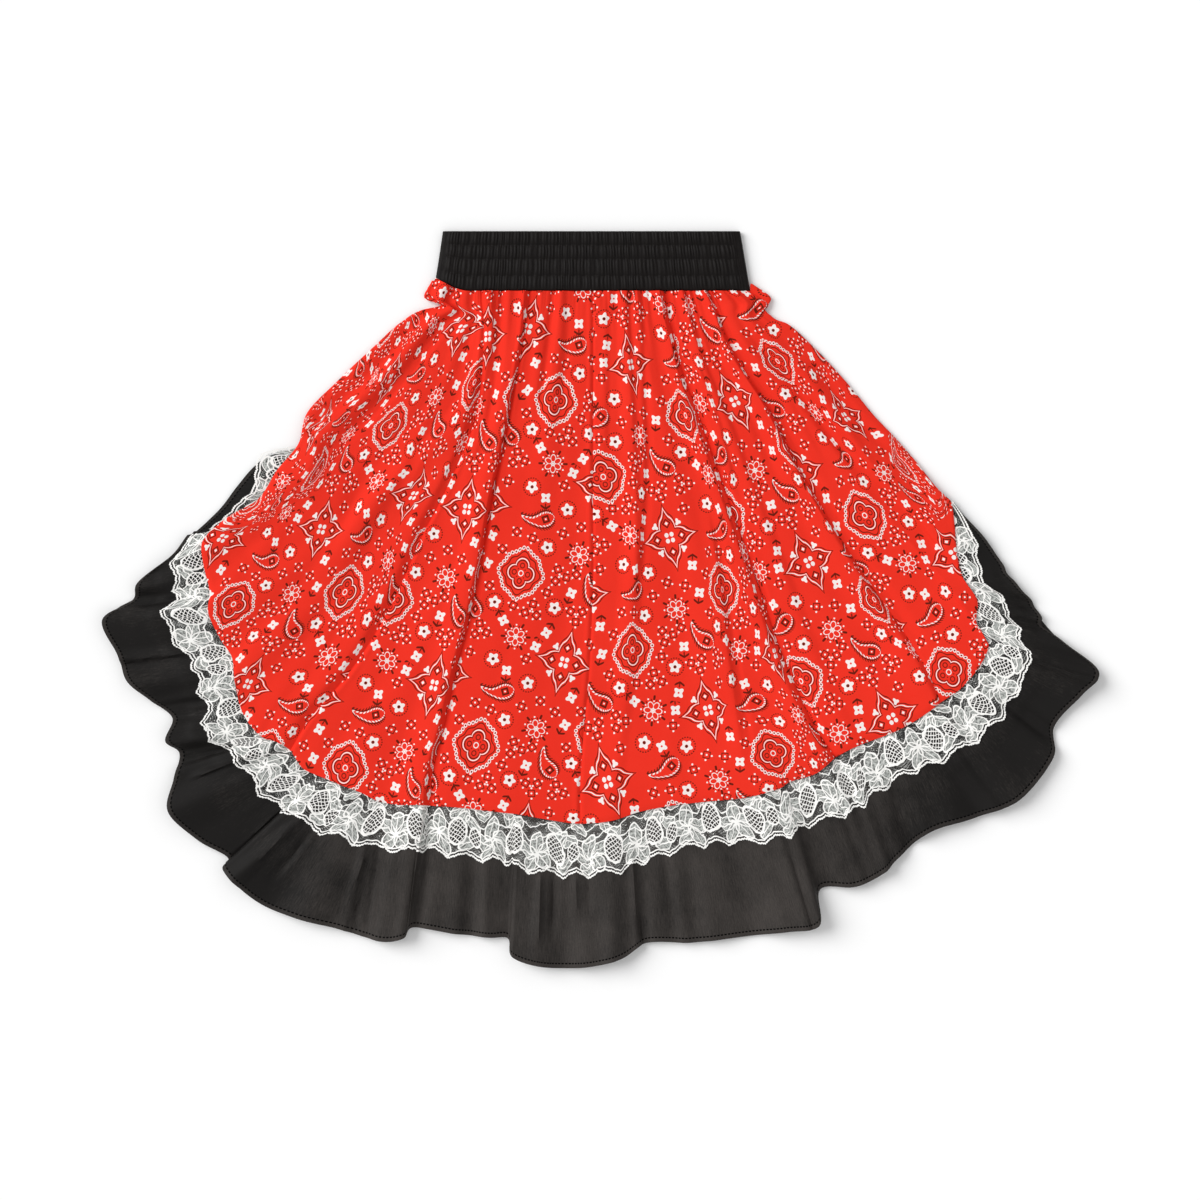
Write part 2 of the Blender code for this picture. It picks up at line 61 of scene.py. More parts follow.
# Thickness of the cloth and the lace as dressed, thinner than those walls
CLOTH_THICK = 0.8
LACE_THICK = 0.45

# Heights above the surface the skirt lies on
BACK_TOP = 1.4
UPPER_BASE = 1.7
BACK_RUFFLE_TOP = 3.1
TURN_LACE_BASE = 3.4
FRONT_BASE = 1.8
TURNED_BASE = 4.9  # of the front over the turned hem
HEM_BASE = 6.8  # of the front at its hem
RUFFLE_BASE = BACK_RUFFLE_TOP + 0.9
RUFFLE_LOW_BASE = UPPER_BASE + 0.7  # past the lace of the back

LACE_DROP = 0.6  # room between the front's hem and the lace under it
HEM_OVERLAP = 8.0  # of the hem over lace and ruffle
PUFF = 2.5  # rise of the front inside its rounded sides
EDGE_ROUND = 14.0  # width of that rounding
# The back's size against the front's, small enough for the front to hide it
BACK_INSET = 0.99
BACK_RUFFLE_INSET = 0.985

# Depths of the strips in their bake maps
LACE_DEPTH = 50.0
RUFFLE_DEPTH = 150.0
GORE_LENGTH = 520.0  # for places given in mm inside the hem

BAND_TOP = 367.0
BAND_BOTTOM = 308.0
BAND_HEIGHT = 6.8
BAND_TOP_X = (-157.0, 140.0)
BAND_BOTTOM_X = (-164.0, 150.0)
BAND_CORNER = (0.10, 13.0)  # share of the width that rises at the left, and by how many mm
BAND_CHANNELS = 4
BAND_ROUND = 600.0  # of the cloth map, with the elastic relaxed
BAND_PUCKER = 1.45

# Sections across the front, from waist (0) to hem (1)
SECTION_V = np.array((0, 0.035, 0.06, 0.09, 0.16, 0.28, 0.42, 0.54, 0.64, 0.74, 0.84, 0.94, 1.0))
# The side folds and gore seams on each section: x, y of the seven lines
SEAM_LINES = np.array((
    (-168, 318, -118, 307.5, -70, 307.5, -7, 307.5, 64, 307.5, 108, 307.5, 152, 315),
    (-175, 300, -117, 292, -72, 290, -7, 289, 67, 292, 114, 294, 171, 300),
    (-159, 294, -116, 280, -74, 277, -7, 276, 69, 280, 118, 284, 165, 290),
    (-177, 289, -116, 266, -76, 262, -7, 260, 73, 266, 122, 272, 172, 282),
    (-198, 277, -117, 234, -83, 225, -7, 222, 81, 233, 136, 242, 187, 275),
    (-226, 252, -126, 178, -95, 164, -7, 159, 101, 177, 167, 194, 211, 254),
    (-262, 218, -151, 115, -110, 92, -7, 84, 124, 112, 196, 137, 236, 228),
    (-293, 185, -179, 60, -120, 30, -7, 20, 144, 56, 224, 88, 256, 205),
    (-301, 155, -199, 14, -131, -21, -9, -33, 160, 10, 249, 47, 274, 183),
    (-322, 129, -223, -32, -144, -72, -12, -86, 175, -37, 276, 7, 295, 161),
    (-341, 100, -254, -78, -155, -124, -17, -139, 194, -83, 304, -34, 315, 138),
    (-371, 82, -292, -123, -167, -175, -20, -192, 216, -130, 328, -76, 337, 110),
    (-390, 67, -309, -151, -170, -206, -20, -224, 235, -158, 340, -103, 350, 98),
), dtype=float)

# One row for each wave of the ruffle: hem x, hem y, edge x, edge y, lace width, wave height
STATIONS = np.array((
    (-390, 67, -412, 64, 16, 0), (-397, 54, -428, 43, 26, 2), (-395, 33, -460, 18, 32, 6),
    (-389, 7, -467, -1, 34, 1), (-390, -14, -496, -21, 45, 9), (-379, -39, -481, -56, 42, 4),
    (-367, -58, -472, -81, 39, 8), (-364, -81, -449, -101, 36, 5), (-359, -106, -427, -119, 34, 2),
    (-350, -124, -433, -141, 45, 9), (-336, -138, -420, -154, 44, 3),
    (-323, -142, -425, -179, 45, 8), (-309, -151, -430, -211, 48, 11),
    (-297, -168, -402, -240, 48, 6), (-284, -175, -372, -258, 48, 2),
    (-274, -179, -375, -271, 50, 10), (-254, -187, -342, -302, 52, 5),
    (-238, -193, -307, -317, 49, 9), (-220, -202, -262, -329, 46, 3),
    (-200, -205, -220, -341, 44, 9), (-180, -205, -196, -338, 46, 12),
    (-170, -206, -186, -328, 43, 2), (-140, -208, -145, -334, 48, 6),
    (-105, -212, -110, -338, 48, 4), (-86, -214, -92, -339, 50, 1), (-80, -215, -87, -357, 52, 13),
    (-52, -220, -55, -367, 53, 7), (-20, -224, -14, -367, 51, 10), (12, -221, 22, -358, 50, 12),
    (40, -212, 48, -343, 50, 2), (72, -206, 90, -343, 44, 6), (106, -202, 135, -338, 42, 4),
    (145, -198, 185, -332, 45, 8), (178, -189, 218, -325, 47, 14), (190, -182, 220, -290, 46, 2),
    (215, -174, 255, -287, 47, 6), (235, -158, 282, -274, 55, 11), (258, -146, 298, -258, 50, 4),
    (290, -134, 330, -232, 43, 8), (315, -121, 375, -218, 47, 5), (340, -103, 418, -200, 50, 9),
    (360, -89, 452, -158, 49, 6), (377, -69, 454, -126, 44, 2), (387, -49, 480, -96, 46, 7),
    (384, -39, 497, -72, 42, 11), (375, -23, 462, -42, 44, 5), (376, -1, 438, -13, 32, 2),
    (362, 21, 418, 12, 22, 6), (356, 43, 400, 38, 22, 3), (354, 67, 382, 63, 18, 3),
    (352, 87, 362, 85, 9, 1), (350, 98, 354, 96, 3, 0),
), dtype=float)
LAST_STATION = len(STATIONS) - 1
# Stations at the ends of the gores and at the joins of ruffle and lace
GORE_ENDS = (0, 12, 21, 27, 36, 40, LAST_STATION)
RUFFLE_JOIN = 25
LACE_JOIN = 21
REACHES_END = 0.99  # a fold or pinch that ends past this doesn't fade towards its end

Fold = namedtuple("Fold", "waist_at hem_at waist middle hem narrow wide lean")
# Main ridges, as in the solids: place by gore at waist and hem, rise at waist, middle and hem,
# half width at waist and hem, and which way they lean
FOLDS = [Fold(*row) for row in (
    (0.30, 0.08, 4.0, 4.0, 2.0, 9, 26, 0.2), (1.10, 0.30, 2.8, 3.4, 3.0, 9, 30, -0.3),
    (0.72, 0.62, 2.0, 2.2, 3.0, 8, 30, 0.2), (0.93, 0.95, 1.8, 2.8, 2.6, 7, 24, 0.7),
    (1.55, 1.50, 3.0, 1.0, 1.5, 8, 34, 0.0), (1.90, 1.955, 3.0, 4.6, 4.8, 8, 24, 1.0),
    (2.50, 2.45, 3.0, 1.2, 1.5, 9, 40, 0.0), (3.45, 3.12, 3.5, 3.0, 1.0, 8, 22, 0.5),
    (3.62, 3.72, 2.0, 1.4, 2.6, 9, 34, 0.3), (3.93, 3.97, 3.0, 4.4, 3.2, 7, 20, 1.0),
    (4.40, 4.20, 3.5, 2.6, 1.0, 7, 20, 0.5), (4.93, 4.95, 4.0, 5.0, 3.0, 7, 22, 1.0),
    (5.55, 5.75, 3.5, 4.0, 2.0, 10, 30, 0.0), (5.30, 5.42, 2.0, 2.0, 2.4, 8, 30, 0.2),
)]

Crease = namedtuple("Crease", "path start end rise width lean")
# Soft troughs (rise below 0) and ridges: the path in gores at its start, middle
# and end, the stretch from waist (0) to hem (1), the rise and half width in mm, and the lean
CREASES = [Crease(*row) for row in (
    ((0.12, 0.15, 0.10), 0.05, 0.62, -2.0, 9, 0.0), ((0.45, 0.36, 0.30), 0.02, 0.55, -2.4, 8, 0.3),
    ((0.60, 0.48, 0.44), 0.10, 0.80, 1.1, 14, 0.4), ((0.80, 0.70, 0.78), 0.00, 0.60, -1.2, 7, 0.0),
    ((0.98, 0.99, 0.99), 0.10, 1.00, -1.1, 5, -0.5),
    ((0.55, 0.50, 0.52), 0.45, 1.00, -1.0, 14, 0.2),
    ((0.20, 0.22, 0.30), 0.55, 1.00, 1.1, 14, -0.3),
    ((0.86, 0.80, 0.84), 0.55, 1.00, 1.0, 10, 0.4), ((1.20, 1.25, 1.30), 0.00, 0.42, 1.5, 7, 0.3),
    ((1.45, 1.40, 1.42), 0.00, 0.30, -1.5, 6, 0.0),
    ((1.75, 1.76, 1.72), 0.05, 0.70, 1.0, 11, -0.4),
    ((1.36, 1.32, 1.25), 0.45, 1.00, -0.9, 14, 0.0),
    ((2.00, 2.015, 2.01), 0.12, 1.00, -2.4, 4, -0.4),
    ((2.20, 2.25, 2.30), 0.00, 0.26, 1.5, 7, 0.0), ((2.40, 2.38, 2.35), 0.00, 0.22, -1.5, 5, 0.0),
    ((2.66, 2.62, 2.58), 0.00, 0.28, -1.4, 6, 0.0), ((2.30, 2.22, 2.15), 0.55, 1.00, 0.9, 16, 0.3),
    ((2.86, 2.84, 2.70), 0.20, 0.80, -0.8, 11, 0.2), ((3.16, 3.12, 3.08), 0.00, 0.34, 1.5, 7, 0.3),
    ((3.62, 3.42, 3.20), 0.02, 0.66, 1.5, 8, 0.6), ((3.68, 3.47, 3.23), 0.02, 0.66, -0.9, 5, 0.0),
    ((3.55, 3.50, 3.46), 0.40, 1.00, -0.8, 15, 0.0), ((3.84, 3.74, 3.66), 0.42, 0.97, 1.7, 8, 0.9),
    ((3.88, 3.78, 3.70), 0.45, 0.97, -1.3, 5, 0.0),
    ((4.01, 4.015, 4.01), 0.02, 1.00, -3.0, 3.5, -0.5),
    ((4.30, 4.22, 4.10), 0.12, 0.46, 2.2, 7, 0.8), ((4.46, 4.55, 4.60), 0.30, 1.00, 0.8, 14, 0.3),
    ((4.70, 4.72, 4.70), 0.05, 0.45, -1.4, 7, 0.0),
    ((5.04, 5.03, 5.03), 0.05, 0.95, -2.4, 7, -0.5), ((5.20, 5.22, 5.20), 0.05, 0.50, 1.5, 8, 0.4),
    ((5.40, 5.44, 5.52), 0.08, 0.60, -2.0, 9, 0.0),
    ((5.72, 5.66, 5.60), 0.20, 0.80, 1.4, 10, -0.3),
    ((5.85, 5.86, 5.90), 0.25, 0.85, -1.6, 8, 0.0),
    ((5.30, 5.34, 5.36), 0.60, 1.00, -0.9, 12, 0.0),
)]

Pinch = namedtuple("Pinch", "top bottom start end half amount")
# Where small folds take up cloth, so that the print is squeezed there: the place in gores at the
# top and bottom of the stretch, the stretch from waist to hem, half width and how much
PINCHES = [Pinch(*row) for row in (
    (0.10, 0.05, 0.05, 0.62, 0.30, 1.5), (0.30, 0.20, 0.30, 0.56, 0.12, 0.8),
    (0.50, 0.50, 0.02, 1.00, 0.55, 0.25), (0.55, 0.50, 0.05, 0.45, 0.30, 0.5),
    (0.90, 0.90, 0.10, 0.80, 0.08, 0.7), (0.34, 0.02, 0.50, 0.98, 0.05, 4.0),
    (0.12, 0.02, 0.45, 0.72, 0.14, 1.6), (1.90, 1.95, 0.10, 1.00, 0.06, 0.8),
    (1.10, 1.15, 0.05, 0.50, 0.10, 0.5), (3.55, 3.20, 0.05, 0.75, 0.05, 0.6),
    (3.90, 3.94, 0.05, 1.00, 0.05, 0.9), (4.35, 4.12, 0.12, 0.46, 0.10, 1.0),
    (4.90, 4.93, 0.05, 0.95, 0.07, 0.8), (5.40, 5.55, 0.10, 0.60, 0.14, 0.6),
    (5.90, 5.92, 0.15, 0.70, 0.12, 1.0), (5.88, 5.95, 0.70, 0.98, 0.13, 2.4),
    (2.90, 2.95, 0.02, 0.30, 0.06, 0.5), (3.78, 3.64, 0.45, 0.90, 0.035, 1.0),
    (5.50, 5.60, 0.30, 0.90, 0.45, 0.2),
)]

RuffleFold = namedtuple("RuffleFold", "hem_at edge_at rise width start end")
# Folds of the ruffle: station at the hem and at its edge, rise, half width in stations and the
# stretch between hem (0) and edge (1)
RUFFLE_FOLDS = [RuffleFold(*row) for row in (
    (3.2, 3.3, -2.0, 0.30, 0.3, 1.0), (5.5, 5.2, 2.0, 0.35, 0.3, 1.0),
    (7.6, 7.4, -1.8, 0.30, 0.3, 1.0), (10.3, 10.4, -2.2, 0.35, 0.3, 1.0),
    (11.4, 11.2, 1.8, 0.25, 0.2, 0.9), (14.4, 14.3, -2.4, 0.30, 0.3, 1.0),
    (15.6, 15.4, 2.4, 0.30, 0.3, 1.0), (16.1, 15.9, -1.8, 0.22, 0.4, 0.9),
    (18.0, 18.2, 2.4, 0.28, 0.3, 1.0), (18.4, 18.7, -1.8, 0.24, 0.3, 1.0),
    (20.6, 20.5, 2.2, 0.25, 0.2, 1.0), (22.4, 22.5, -1.8, 0.45, 0.3, 1.0),
    (25.9, 25.8, 2.6, 0.22, 0.3, 0.95), (26.25, 26.15, -2.4, 0.2, 0.3, 0.9),
    (26.9, 26.8, 2.0, 0.22, 0.3, 0.75), (27.2, 27.1, -2.0, 0.2, 0.3, 0.7),
    (28.6, 28.7, 2.2, 0.25, 0.3, 1.0), (29.6, 29.7, -2.0, 0.3, 0.3, 1.0),
    (31.4, 31.3, -1.8, 0.5, 0.3, 1.0), (32.6, 32.6, 2.0, 0.35, 0.3, 1.0),
    (35.4, 35.5, -2.0, 0.35, 0.3, 1.0), (37.5, 37.6, -2.0, 0.35, 0.3, 1.0),
    (39.4, 39.5, 1.8, 0.35, 0.3, 1.0), (41.5, 41.6, -1.8, 0.4, 0.3, 1.0),
    (43.4, 43.6, 2.0, 0.3, 0.3, 1.0), (45.6, 45.4, -1.8, 0.35, 0.3, 1.0),
)]

# The hem turned forward at the left side: inner edge, lace edge and ruffle edge
TURNS = np.array((
    (-286, 146, -304, 153, -302, 151), (-300, 136, -336, 146, -330, 143),
    (-310, 122, -344, 132, -346, 132), (-314, 108, -347, 110, -363, 112),
    (-332, 92, -361, 97, -378, 92), (-352, 78, -374, 83, -394, 76), (-370, 64, -391, 70, -410, 62),
), dtype=float)


# Numbers ---------------------------------------------------------------------------------------

def smooth(low, high, value):
    share = np.clip((np.asarray(value, dtype=float) - low) / (high - low), 0.0, 1.0)
    return share * share * (3.0 - 2.0 * share)


def mix(first, second, share):
    return first + (second - first) * share


def curve(knots, rows, at):
    """A smooth curve through rows of numbers, read at an array of places."""
    knots, rows, at = np.asarray(knots, float), np.asarray(rows, float), np.asarray(at, float)
    slopes = np.gradient(rows, knots, axis=0)
    index = np.clip(np.searchsorted(knots, at, side="right") - 1, 0, len(knots) - 2)
    width = (knots[index + 1] - knots[index])[:, None]
    share = (at - knots[index])[:, None] / width
    start, end = rows[index], rows[index + 1]
    return (
        start * (1 + 2 * share) * (1 - share) ** 2
        + slopes[index] * width * share * (1 - share) ** 2
        + end * share**2 * (3 - 2 * share)
        + slopes[index + 1] * width * share**2 * (share - 1)
    )


HEM_STEPS = np.linalg.norm(np.diff(STATIONS[:, :2], axis=0), axis=1)
HEM_LENGTH = np.concatenate(([0.0], np.cumsum(HEM_STEPS)))
GORE_OF_STATION = np.interp(HEM_LENGTH, HEM_LENGTH[list(GORE_ENDS)], range(7))


def station(places):
    return curve(range(LAST_STATION + 1), STATIONS, places)


def gores_at(places):
    return np.interp(places, range(LAST_STATION + 1), GORE_OF_STATION)


def hem_length(places):
    return np.interp(places, range(LAST_STATION + 1), HEM_LENGTH)


def seam_lines(v):
    return curve(SECTION_V, SEAM_LINES, v).reshape(len(v), 7, 2)


def between_lines(lines, gores):
    """Points of each section at places counted in gores: rows by v, columns by place."""
    gore = np.minimum(gores.astype(int), 5)
    share = (gores - gore)[None, :, None]
    return mix(lines[:, gore], lines[:, gore + 1], share)


def across(v, gores):
    """Distances along the sections from the left side. gores may differ from row to row."""
    lines = seam_lines(v)
    steps = np.cumsum(np.linalg.norm(np.diff(lines, axis=1), axis=2), axis=1)
    steps = np.concatenate((np.zeros((len(v), 1)), steps), axis=1)
    gores = np.broadcast_to(gores, (len(v), np.shape(gores)[-1]))
    gore = np.clip(gores.astype(int), 0, 5)
    rows = np.arange(len(v))[:, None]
    return mix(steps[rows, gore], steps[rows, gore + 1], gores - gore), steps[:, -1:]


def band_edge(x):
    """The waistband's lower edge, which rises at its left corner."""
    share = (x - BAND_BOTTOM_X[0]) / (BAND_BOTTOM_X[1] - BAND_BOTTOM_X[0])
    corner, rise = BAND_CORNER
    return BAND_BOTTOM + rise * np.maximum(1.0 - np.maximum(share, 0.0) / corner, 0.0) ** 1.5


def body_plan(places, v):
    gores = gores_at(places)
    here = between_lines(seam_lines(v), gores)
    waist = between_lines(seam_lines(np.zeros(1)), gores)
    hem = between_lines(seam_lines(np.ones(1)), gores)
    down = np.asarray(v)[:, None, None]
    point = here + (station(places)[:, :2][None] - hem) * down**2
    held = (waist[0, :, 0] > BAND_BOTTOM_X[0]) & (waist[0, :, 0] < BAND_BOTTOM_X[1])
    lift = np.where(held, band_edge(waist[0, :, 0]) - 0.5 - waist[0, :, 1], 0.0)
    point[..., 1] += lift[None] * (1.0 - down[..., 0]) ** 8
    return point


def ridge(distance, half, lean):
    """A soft ridge of height 1 with one side steeper than the other."""
    half = half * np.where(distance > 0, 1.0 - 0.72 * lean, 1.0 + 0.5 * lean)
    share = np.clip(np.abs(distance) / half, 0.0, 1.0)
    return np.cos(math.pi / 2.0 * share) ** 2


def body_folds(places, v):
    """The rise of all folds, gathers and creases above the smooth front."""
    gores = gores_at(places)
    distance, whole = across(v, gores[None])
    down = np.asarray(v)[:, None]
    rise = np.zeros_like(distance)
    for fold in FOLDS:
        centre = across(v, mix(fold.waist_at, fold.hem_at, down))[0]
        height = np.interp(down, (0.0, 0.5, 1.0), (fold.waist, fold.middle, fold.hem))
        half = mix(fold.narrow, fold.wide, down)
        rise += height * ridge(distance - centre, half, fold.lean)
    for crease in CREASES:
        share = np.clip((down - crease.start) / (crease.end - crease.start), 0.0, 1.0)
        path = np.interp(share, (0.0, 0.5, 1.0), crease.path)
        stops = crease.end < REACHES_END
        ends = smooth(0.0, 0.22, share) * (1.0 - smooth(0.8, 1.0, share) * stops)
        if crease.start < 0.03:  # it starts under the waistband
            ends = 1.0 - smooth(0.75, 1.0, share) * stops
        centre = across(v, path)[0]
        rise += crease.rise * ends * ridge(distance - centre, crease.width * 1.3, crease.lean)
    # Gathers under the waistband, uneven in pitch, depth and length
    warp = gores + 0.10 * np.sin(5.1 * gores + 0.6) + 0.05 * np.sin(13.7 * gores)
    wave = 0.5 - 0.5 * np.cos(2.0 * math.pi * 4.6 * warp)
    reach = 0.15 + 0.07 * np.sin(7.3 * gores) + 0.04 * np.sin(17.1 * gores + 1.0)
    deep = 1.35 + 0.95 * np.sin(9.7 * gores + 2.0)
    rise += (deep * wave)[None] * np.maximum(1.0 - down / reach[None], 0.0) ** 1.6
    fine = 0.5 - 0.5 * np.cos(2.0 * math.pi * 11.3 * warp + 1.4 * np.sin(3.0 * gores))
    rise += 0.5 * fine[None] * np.maximum(1.0 - down / 0.07, 0.0)
    return rise, distance, whole


def body_height(places, v):
    gores = gores_at(places)
    down = np.asarray(v)[:, None]
    lowest = mix(FRONT_BASE, HEM_BASE, smooth(0.80, 0.96, down)) + 0.0 * gores[None]
    turned = smooth(0.50, 0.60, down) * (1.0 - smooth(0.30, 0.55, gores))[None]
    lowest = np.maximum(lowest, mix(FRONT_BASE, TURNED_BASE, turned))
    rise, distance, whole = body_folds(places, v)
    edge = np.minimum(np.minimum(distance, whole - distance) / EDGE_ROUND, 1.0)
    rounding = np.sqrt(np.maximum(1.0 - (1.0 - edge) ** 2, 0.0))
    return lowest + WALL + rounding * (PUFF + np.maximum(rise, -PUFF + 0.4))


def seam_groove(places, v):
    """How far the front dips along its gore seams, in mm."""
    gores = gores_at(places)
    near = np.rint(gores)
    inner = (near > 0.5) & (near < 5.5)
    distance, _ = across(v, gores[None])
    seam, _ = across(v, near[None])
    beside = (distance - seam) * np.where(near < 2.5, -1.0, 1.0)[None]
    groove = 1.3 * np.exp(-((beside / 1.3) ** 2))
    return (groove - 0.7 * np.exp(-(((beside + 3.6) / 2.0) ** 2))) * inner[None]


def cloth_coordinates(points, gore, places, v, rise, star, grain):
    """Where each point is in the flat cloth of its gore, in mm across and along the grain.

    The map's zero is at star, where one of the print's stars lies, and grain is the tilt of the
    print in degrees towards the left.
    """
    middle_place = np.interp(gore + 0.5, GORE_OF_STATION, range(LAST_STATION + 1))
    line = body_plan(np.array([middle_place]), v)[:, 0]
    along = np.concatenate(([0.0], np.cumsum(np.linalg.norm(np.diff(line, axis=0), axis=1))))
    tangent = np.gradient(line, axis=0)
    soften = np.hanning(101)
    soften /= soften.sum()
    padded = np.pad(tangent, ((50, 50), (0, 0)), mode="edge")
    tangent = np.stack([np.convolve(padded[:, axis], soften, "valid") for axis in (0, 1)], axis=1)
    tangent /= np.linalg.norm(tangent, axis=1, keepdims=True)
    normal = np.stack((-tangent[:, 1], tangent[:, 0]), axis=1)
    offset = points[..., :2] - line[:, None]
    side = -(offset * -normal[:, None]).sum(axis=2)
    down = along[:, None] + (offset * tangent[:, None]).sum(axis=2)
    step = np.linalg.norm(np.diff(points[..., :2], axis=1), axis=2)
    climb = np.diff(rise, axis=1) * 2.6
    extra = np.sqrt(step**2 + climb**2) - step
    gores, down_v = gores_at(places)[None, 1:], np.asarray(v)[:, None]
    for pinch in PINCHES:
        share = np.clip((down_v - pinch.start) / (pinch.end - pinch.start), 0.0, 1.0)
        fade = smooth(0.8, 1.0, share) * (pinch.end < REACHES_END)
        window = smooth(0.0, 0.2, share) * (1.0 - fade)
        near = np.exp(-((gores - mix(pinch.top, pinch.bottom, share)) / pinch.half) ** 2)
        extra = extra + step * pinch.amount * window * near
    hidden = np.concatenate((np.zeros((len(v), 1)), np.cumsum(extra, axis=1)), axis=1)
    middle = np.abs(gores_at(places) - (gore + 0.5)).argmin()
    side = side + hidden - hidden[:, middle : middle + 1]
    near = np.hypot(points[..., 0] - star[0], points[..., 1] - star[1])
    row, column = np.unravel_index(near.argmin(), near.shape)
    side, down = side - side[row, column], down - down[row, column]
    tilt = math.atan2(-tangent[row, 0], -tangent[row, 1]) - math.radians(grain)
    cos, sin = math.cos(tilt), math.sin(tilt)
    return np.stack((side * cos - down * sin, side * sin + down * cos), axis=2)


# Meshes ----------------------------------------------------------------------------------------

def raised(plan, height):
    """The points of a plan at their heights."""
    return np.concatenate((plan, height[..., None]), axis=-1)


def strip_map(along, from_edge):
    """Cloth places of a strip, in mm along it and from its outer edge."""
    return np.stack((np.broadcast_to(along, from_edge.shape), from_edge), axis=2)


def grid_normals(grid):
    normals = np.cross(np.gradient(grid, axis=0), np.gradient(grid, axis=1))
    normals /= np.maximum(np.linalg.norm(normals, axis=2, keepdims=True), 1e-9)
    return normals * np.where(normals[..., 2:] < 0, -1.0, 1.0)


def rim_indices(rows, columns):
    grid = np.arange(rows * columns).reshape(rows, columns)
    return np.concatenate((grid[0], grid[1:, -1], grid[-1, -2::-1], grid[-2:0:-1, 0]))


BAKE_SMALL = 0.4  # size of the hidden side's bake map against the shown side's
BAKE_MARGIN = 0.02


def planar_layout(points, top_main=True):
    """Bake places: a plan of the shown side and a smaller one of the other beside it."""
    plan = points[..., :2] - points[..., :2].reshape(-1, 2).min(axis=0)
    size = plan.reshape(-1, 2).max(axis=0)
    margin = BAKE_MARGIN * size.max()
    whole = max(size[0] * (1 + BAKE_SMALL) + 3 * margin, size[1] + 2 * margin)
    sides = [plan + margin, plan * BAKE_SMALL + (size[0] + 2 * margin, margin)]
    return [np.stack((side, side)) / whole for side in sides[:: 1 if top_main else -1]]


def strip_layout(rows, columns, length, depth, top_main=True, cuts=4):
    """Bake places of a long strip, cut into lengths that are stacked up the map."""
    per = math.ceil((columns - 1) / cuts)
    piece = length / cuts
    margin = BAKE_MARGIN * piece
    row_step, small_step = depth + margin, depth * BAKE_SMALL + margin
    whole = max(piece + 2 * margin, cuts * row_step + math.ceil(cuts / 2) * small_step + margin)
    up = np.linspace(0.0, depth, rows)[:, None]
    column = np.arange(columns)
    layouts = []
    for large in (top_main, not top_main):
        places = np.zeros((2, rows, columns, 2))
        for end in (0, 1):
            cut = np.clip((column - end) // per, 0, cuts - 1)
            local = (column - cut * per) * piece / per
            if large:
                u, v, scale = local, cut * row_step, 1.0
            else:
                u = local * BAKE_SMALL + (cut % 2) * (piece * BAKE_SMALL + margin)
                v, scale = cuts * row_step + (cut // 2) * small_step, BAKE_SMALL
            places[end, ..., 0] = margin + u[None]
            places[end, ..., 1] = margin + v[None] + up * scale
        layouts.append(places / whole)
    return layouts


def new_piece(name, points, faces, cloth, bake, material, smooth_angle):
    """An object from points and four-cornered faces, with its cloth and bake maps."""
    mesh = bpy.data.meshes.new(name)
    mesh.from_pydata(points.tolist(), [], faces.tolist())
    mesh.materials.append(material)
    for map_name, places in (("cloth", cloth), ("OFBake", bake)):
        layer = mesh.uv_layers.new(name=map_name)
        layer.data.foreach_set("uv", places.reshape(-1).astype(np.float32))
    mesh.uv_layers["cloth"].active_render = True
    item = bpy.data.objects.new(name, mesh)
    bpy.context.scene.collection.objects.link(item)
    for other in bpy.context.selected_objects:
        other.select_set(False)
    bpy.context.view_layer.objects.active = item
    item.select_set(True)
    bpy.ops.object.shade_smooth_by_angle(angle=math.radians(smooth_angle))
    item.select_set(False)
    return item


def shell(name, top, bottom, coordinates, layout, material):
    """A closed piece of cloth between two grids of points.

    layout holds, for both sides, the bake places seen from the faces right and left of a column.
    """
    rows, columns = top.shape[:2]
    count = rows * columns
    points = np.concatenate((top.reshape(-1, 3), bottom.reshape(-1, 3))) * MM
    a = (np.arange(rows - 1)[:, None] * columns + np.arange(columns - 1)[None]).ravel()
    upper = np.stack((a, a + columns, a + columns + 1, a + 1), axis=1)
    lower = np.stack((a, a + 1, a + columns + 1, a + columns), axis=1)
    rim = rim_indices(rows, columns)
    after = np.roll(rim, -1)
    edge = np.stack((rim, after, after + count, rim + count), axis=1)
    faces = np.concatenate((upper, lower + count, edge))
    # Each face reads its columns' places from its own side of a cut in the strip
    top_places, bottom_places = (side.reshape(2, count, 2) for side in layout)
    bake = [
        np.stack([places[end][side[:, k]] for k, end in enumerate(ends)], axis=1)
        for places, side, ends in (
            (top_places, upper, (0, 0, 1, 1)), (bottom_places, lower, (0, 1, 1, 0)))]
    row, column = rim // columns, rim % columns
    inner = np.clip(row, 1, rows - 2) * columns + np.clip(column, 1, columns - 2)
    after_column = after % columns
    start_side = (after_column < column) | (column == columns - 1)
    end_side = (after_column > column) | (after_column == columns - 1)
    rim_places, outer_places = [], []
    for side, at, beside in ((start_side, rim, inner), (end_side, after, np.roll(inner, -1))):
        side = side.astype(int)
        place = top_places[side, at]
        outward = place - top_places[side, beside]
        outward /= np.maximum(np.linalg.norm(outward, axis=1, keepdims=True), 1e-9)
        rim_places.append(place)
        outer_places.append(place + 0.003 * outward)
    bake.append(np.stack((*rim_places, *reversed(outer_places)), axis=1))
    cloth = (np.concatenate((coordinates.reshape(-1, 2),) * 2) * MM)[faces]
    return new_piece(name, points, faces, cloth, np.concatenate(bake), material, 55)


# The area stated for a piece is held to this many times its mesh's. Where the print is squeezed
# the cloth map lays out more than that.
MOST_CLOTH = 1.2


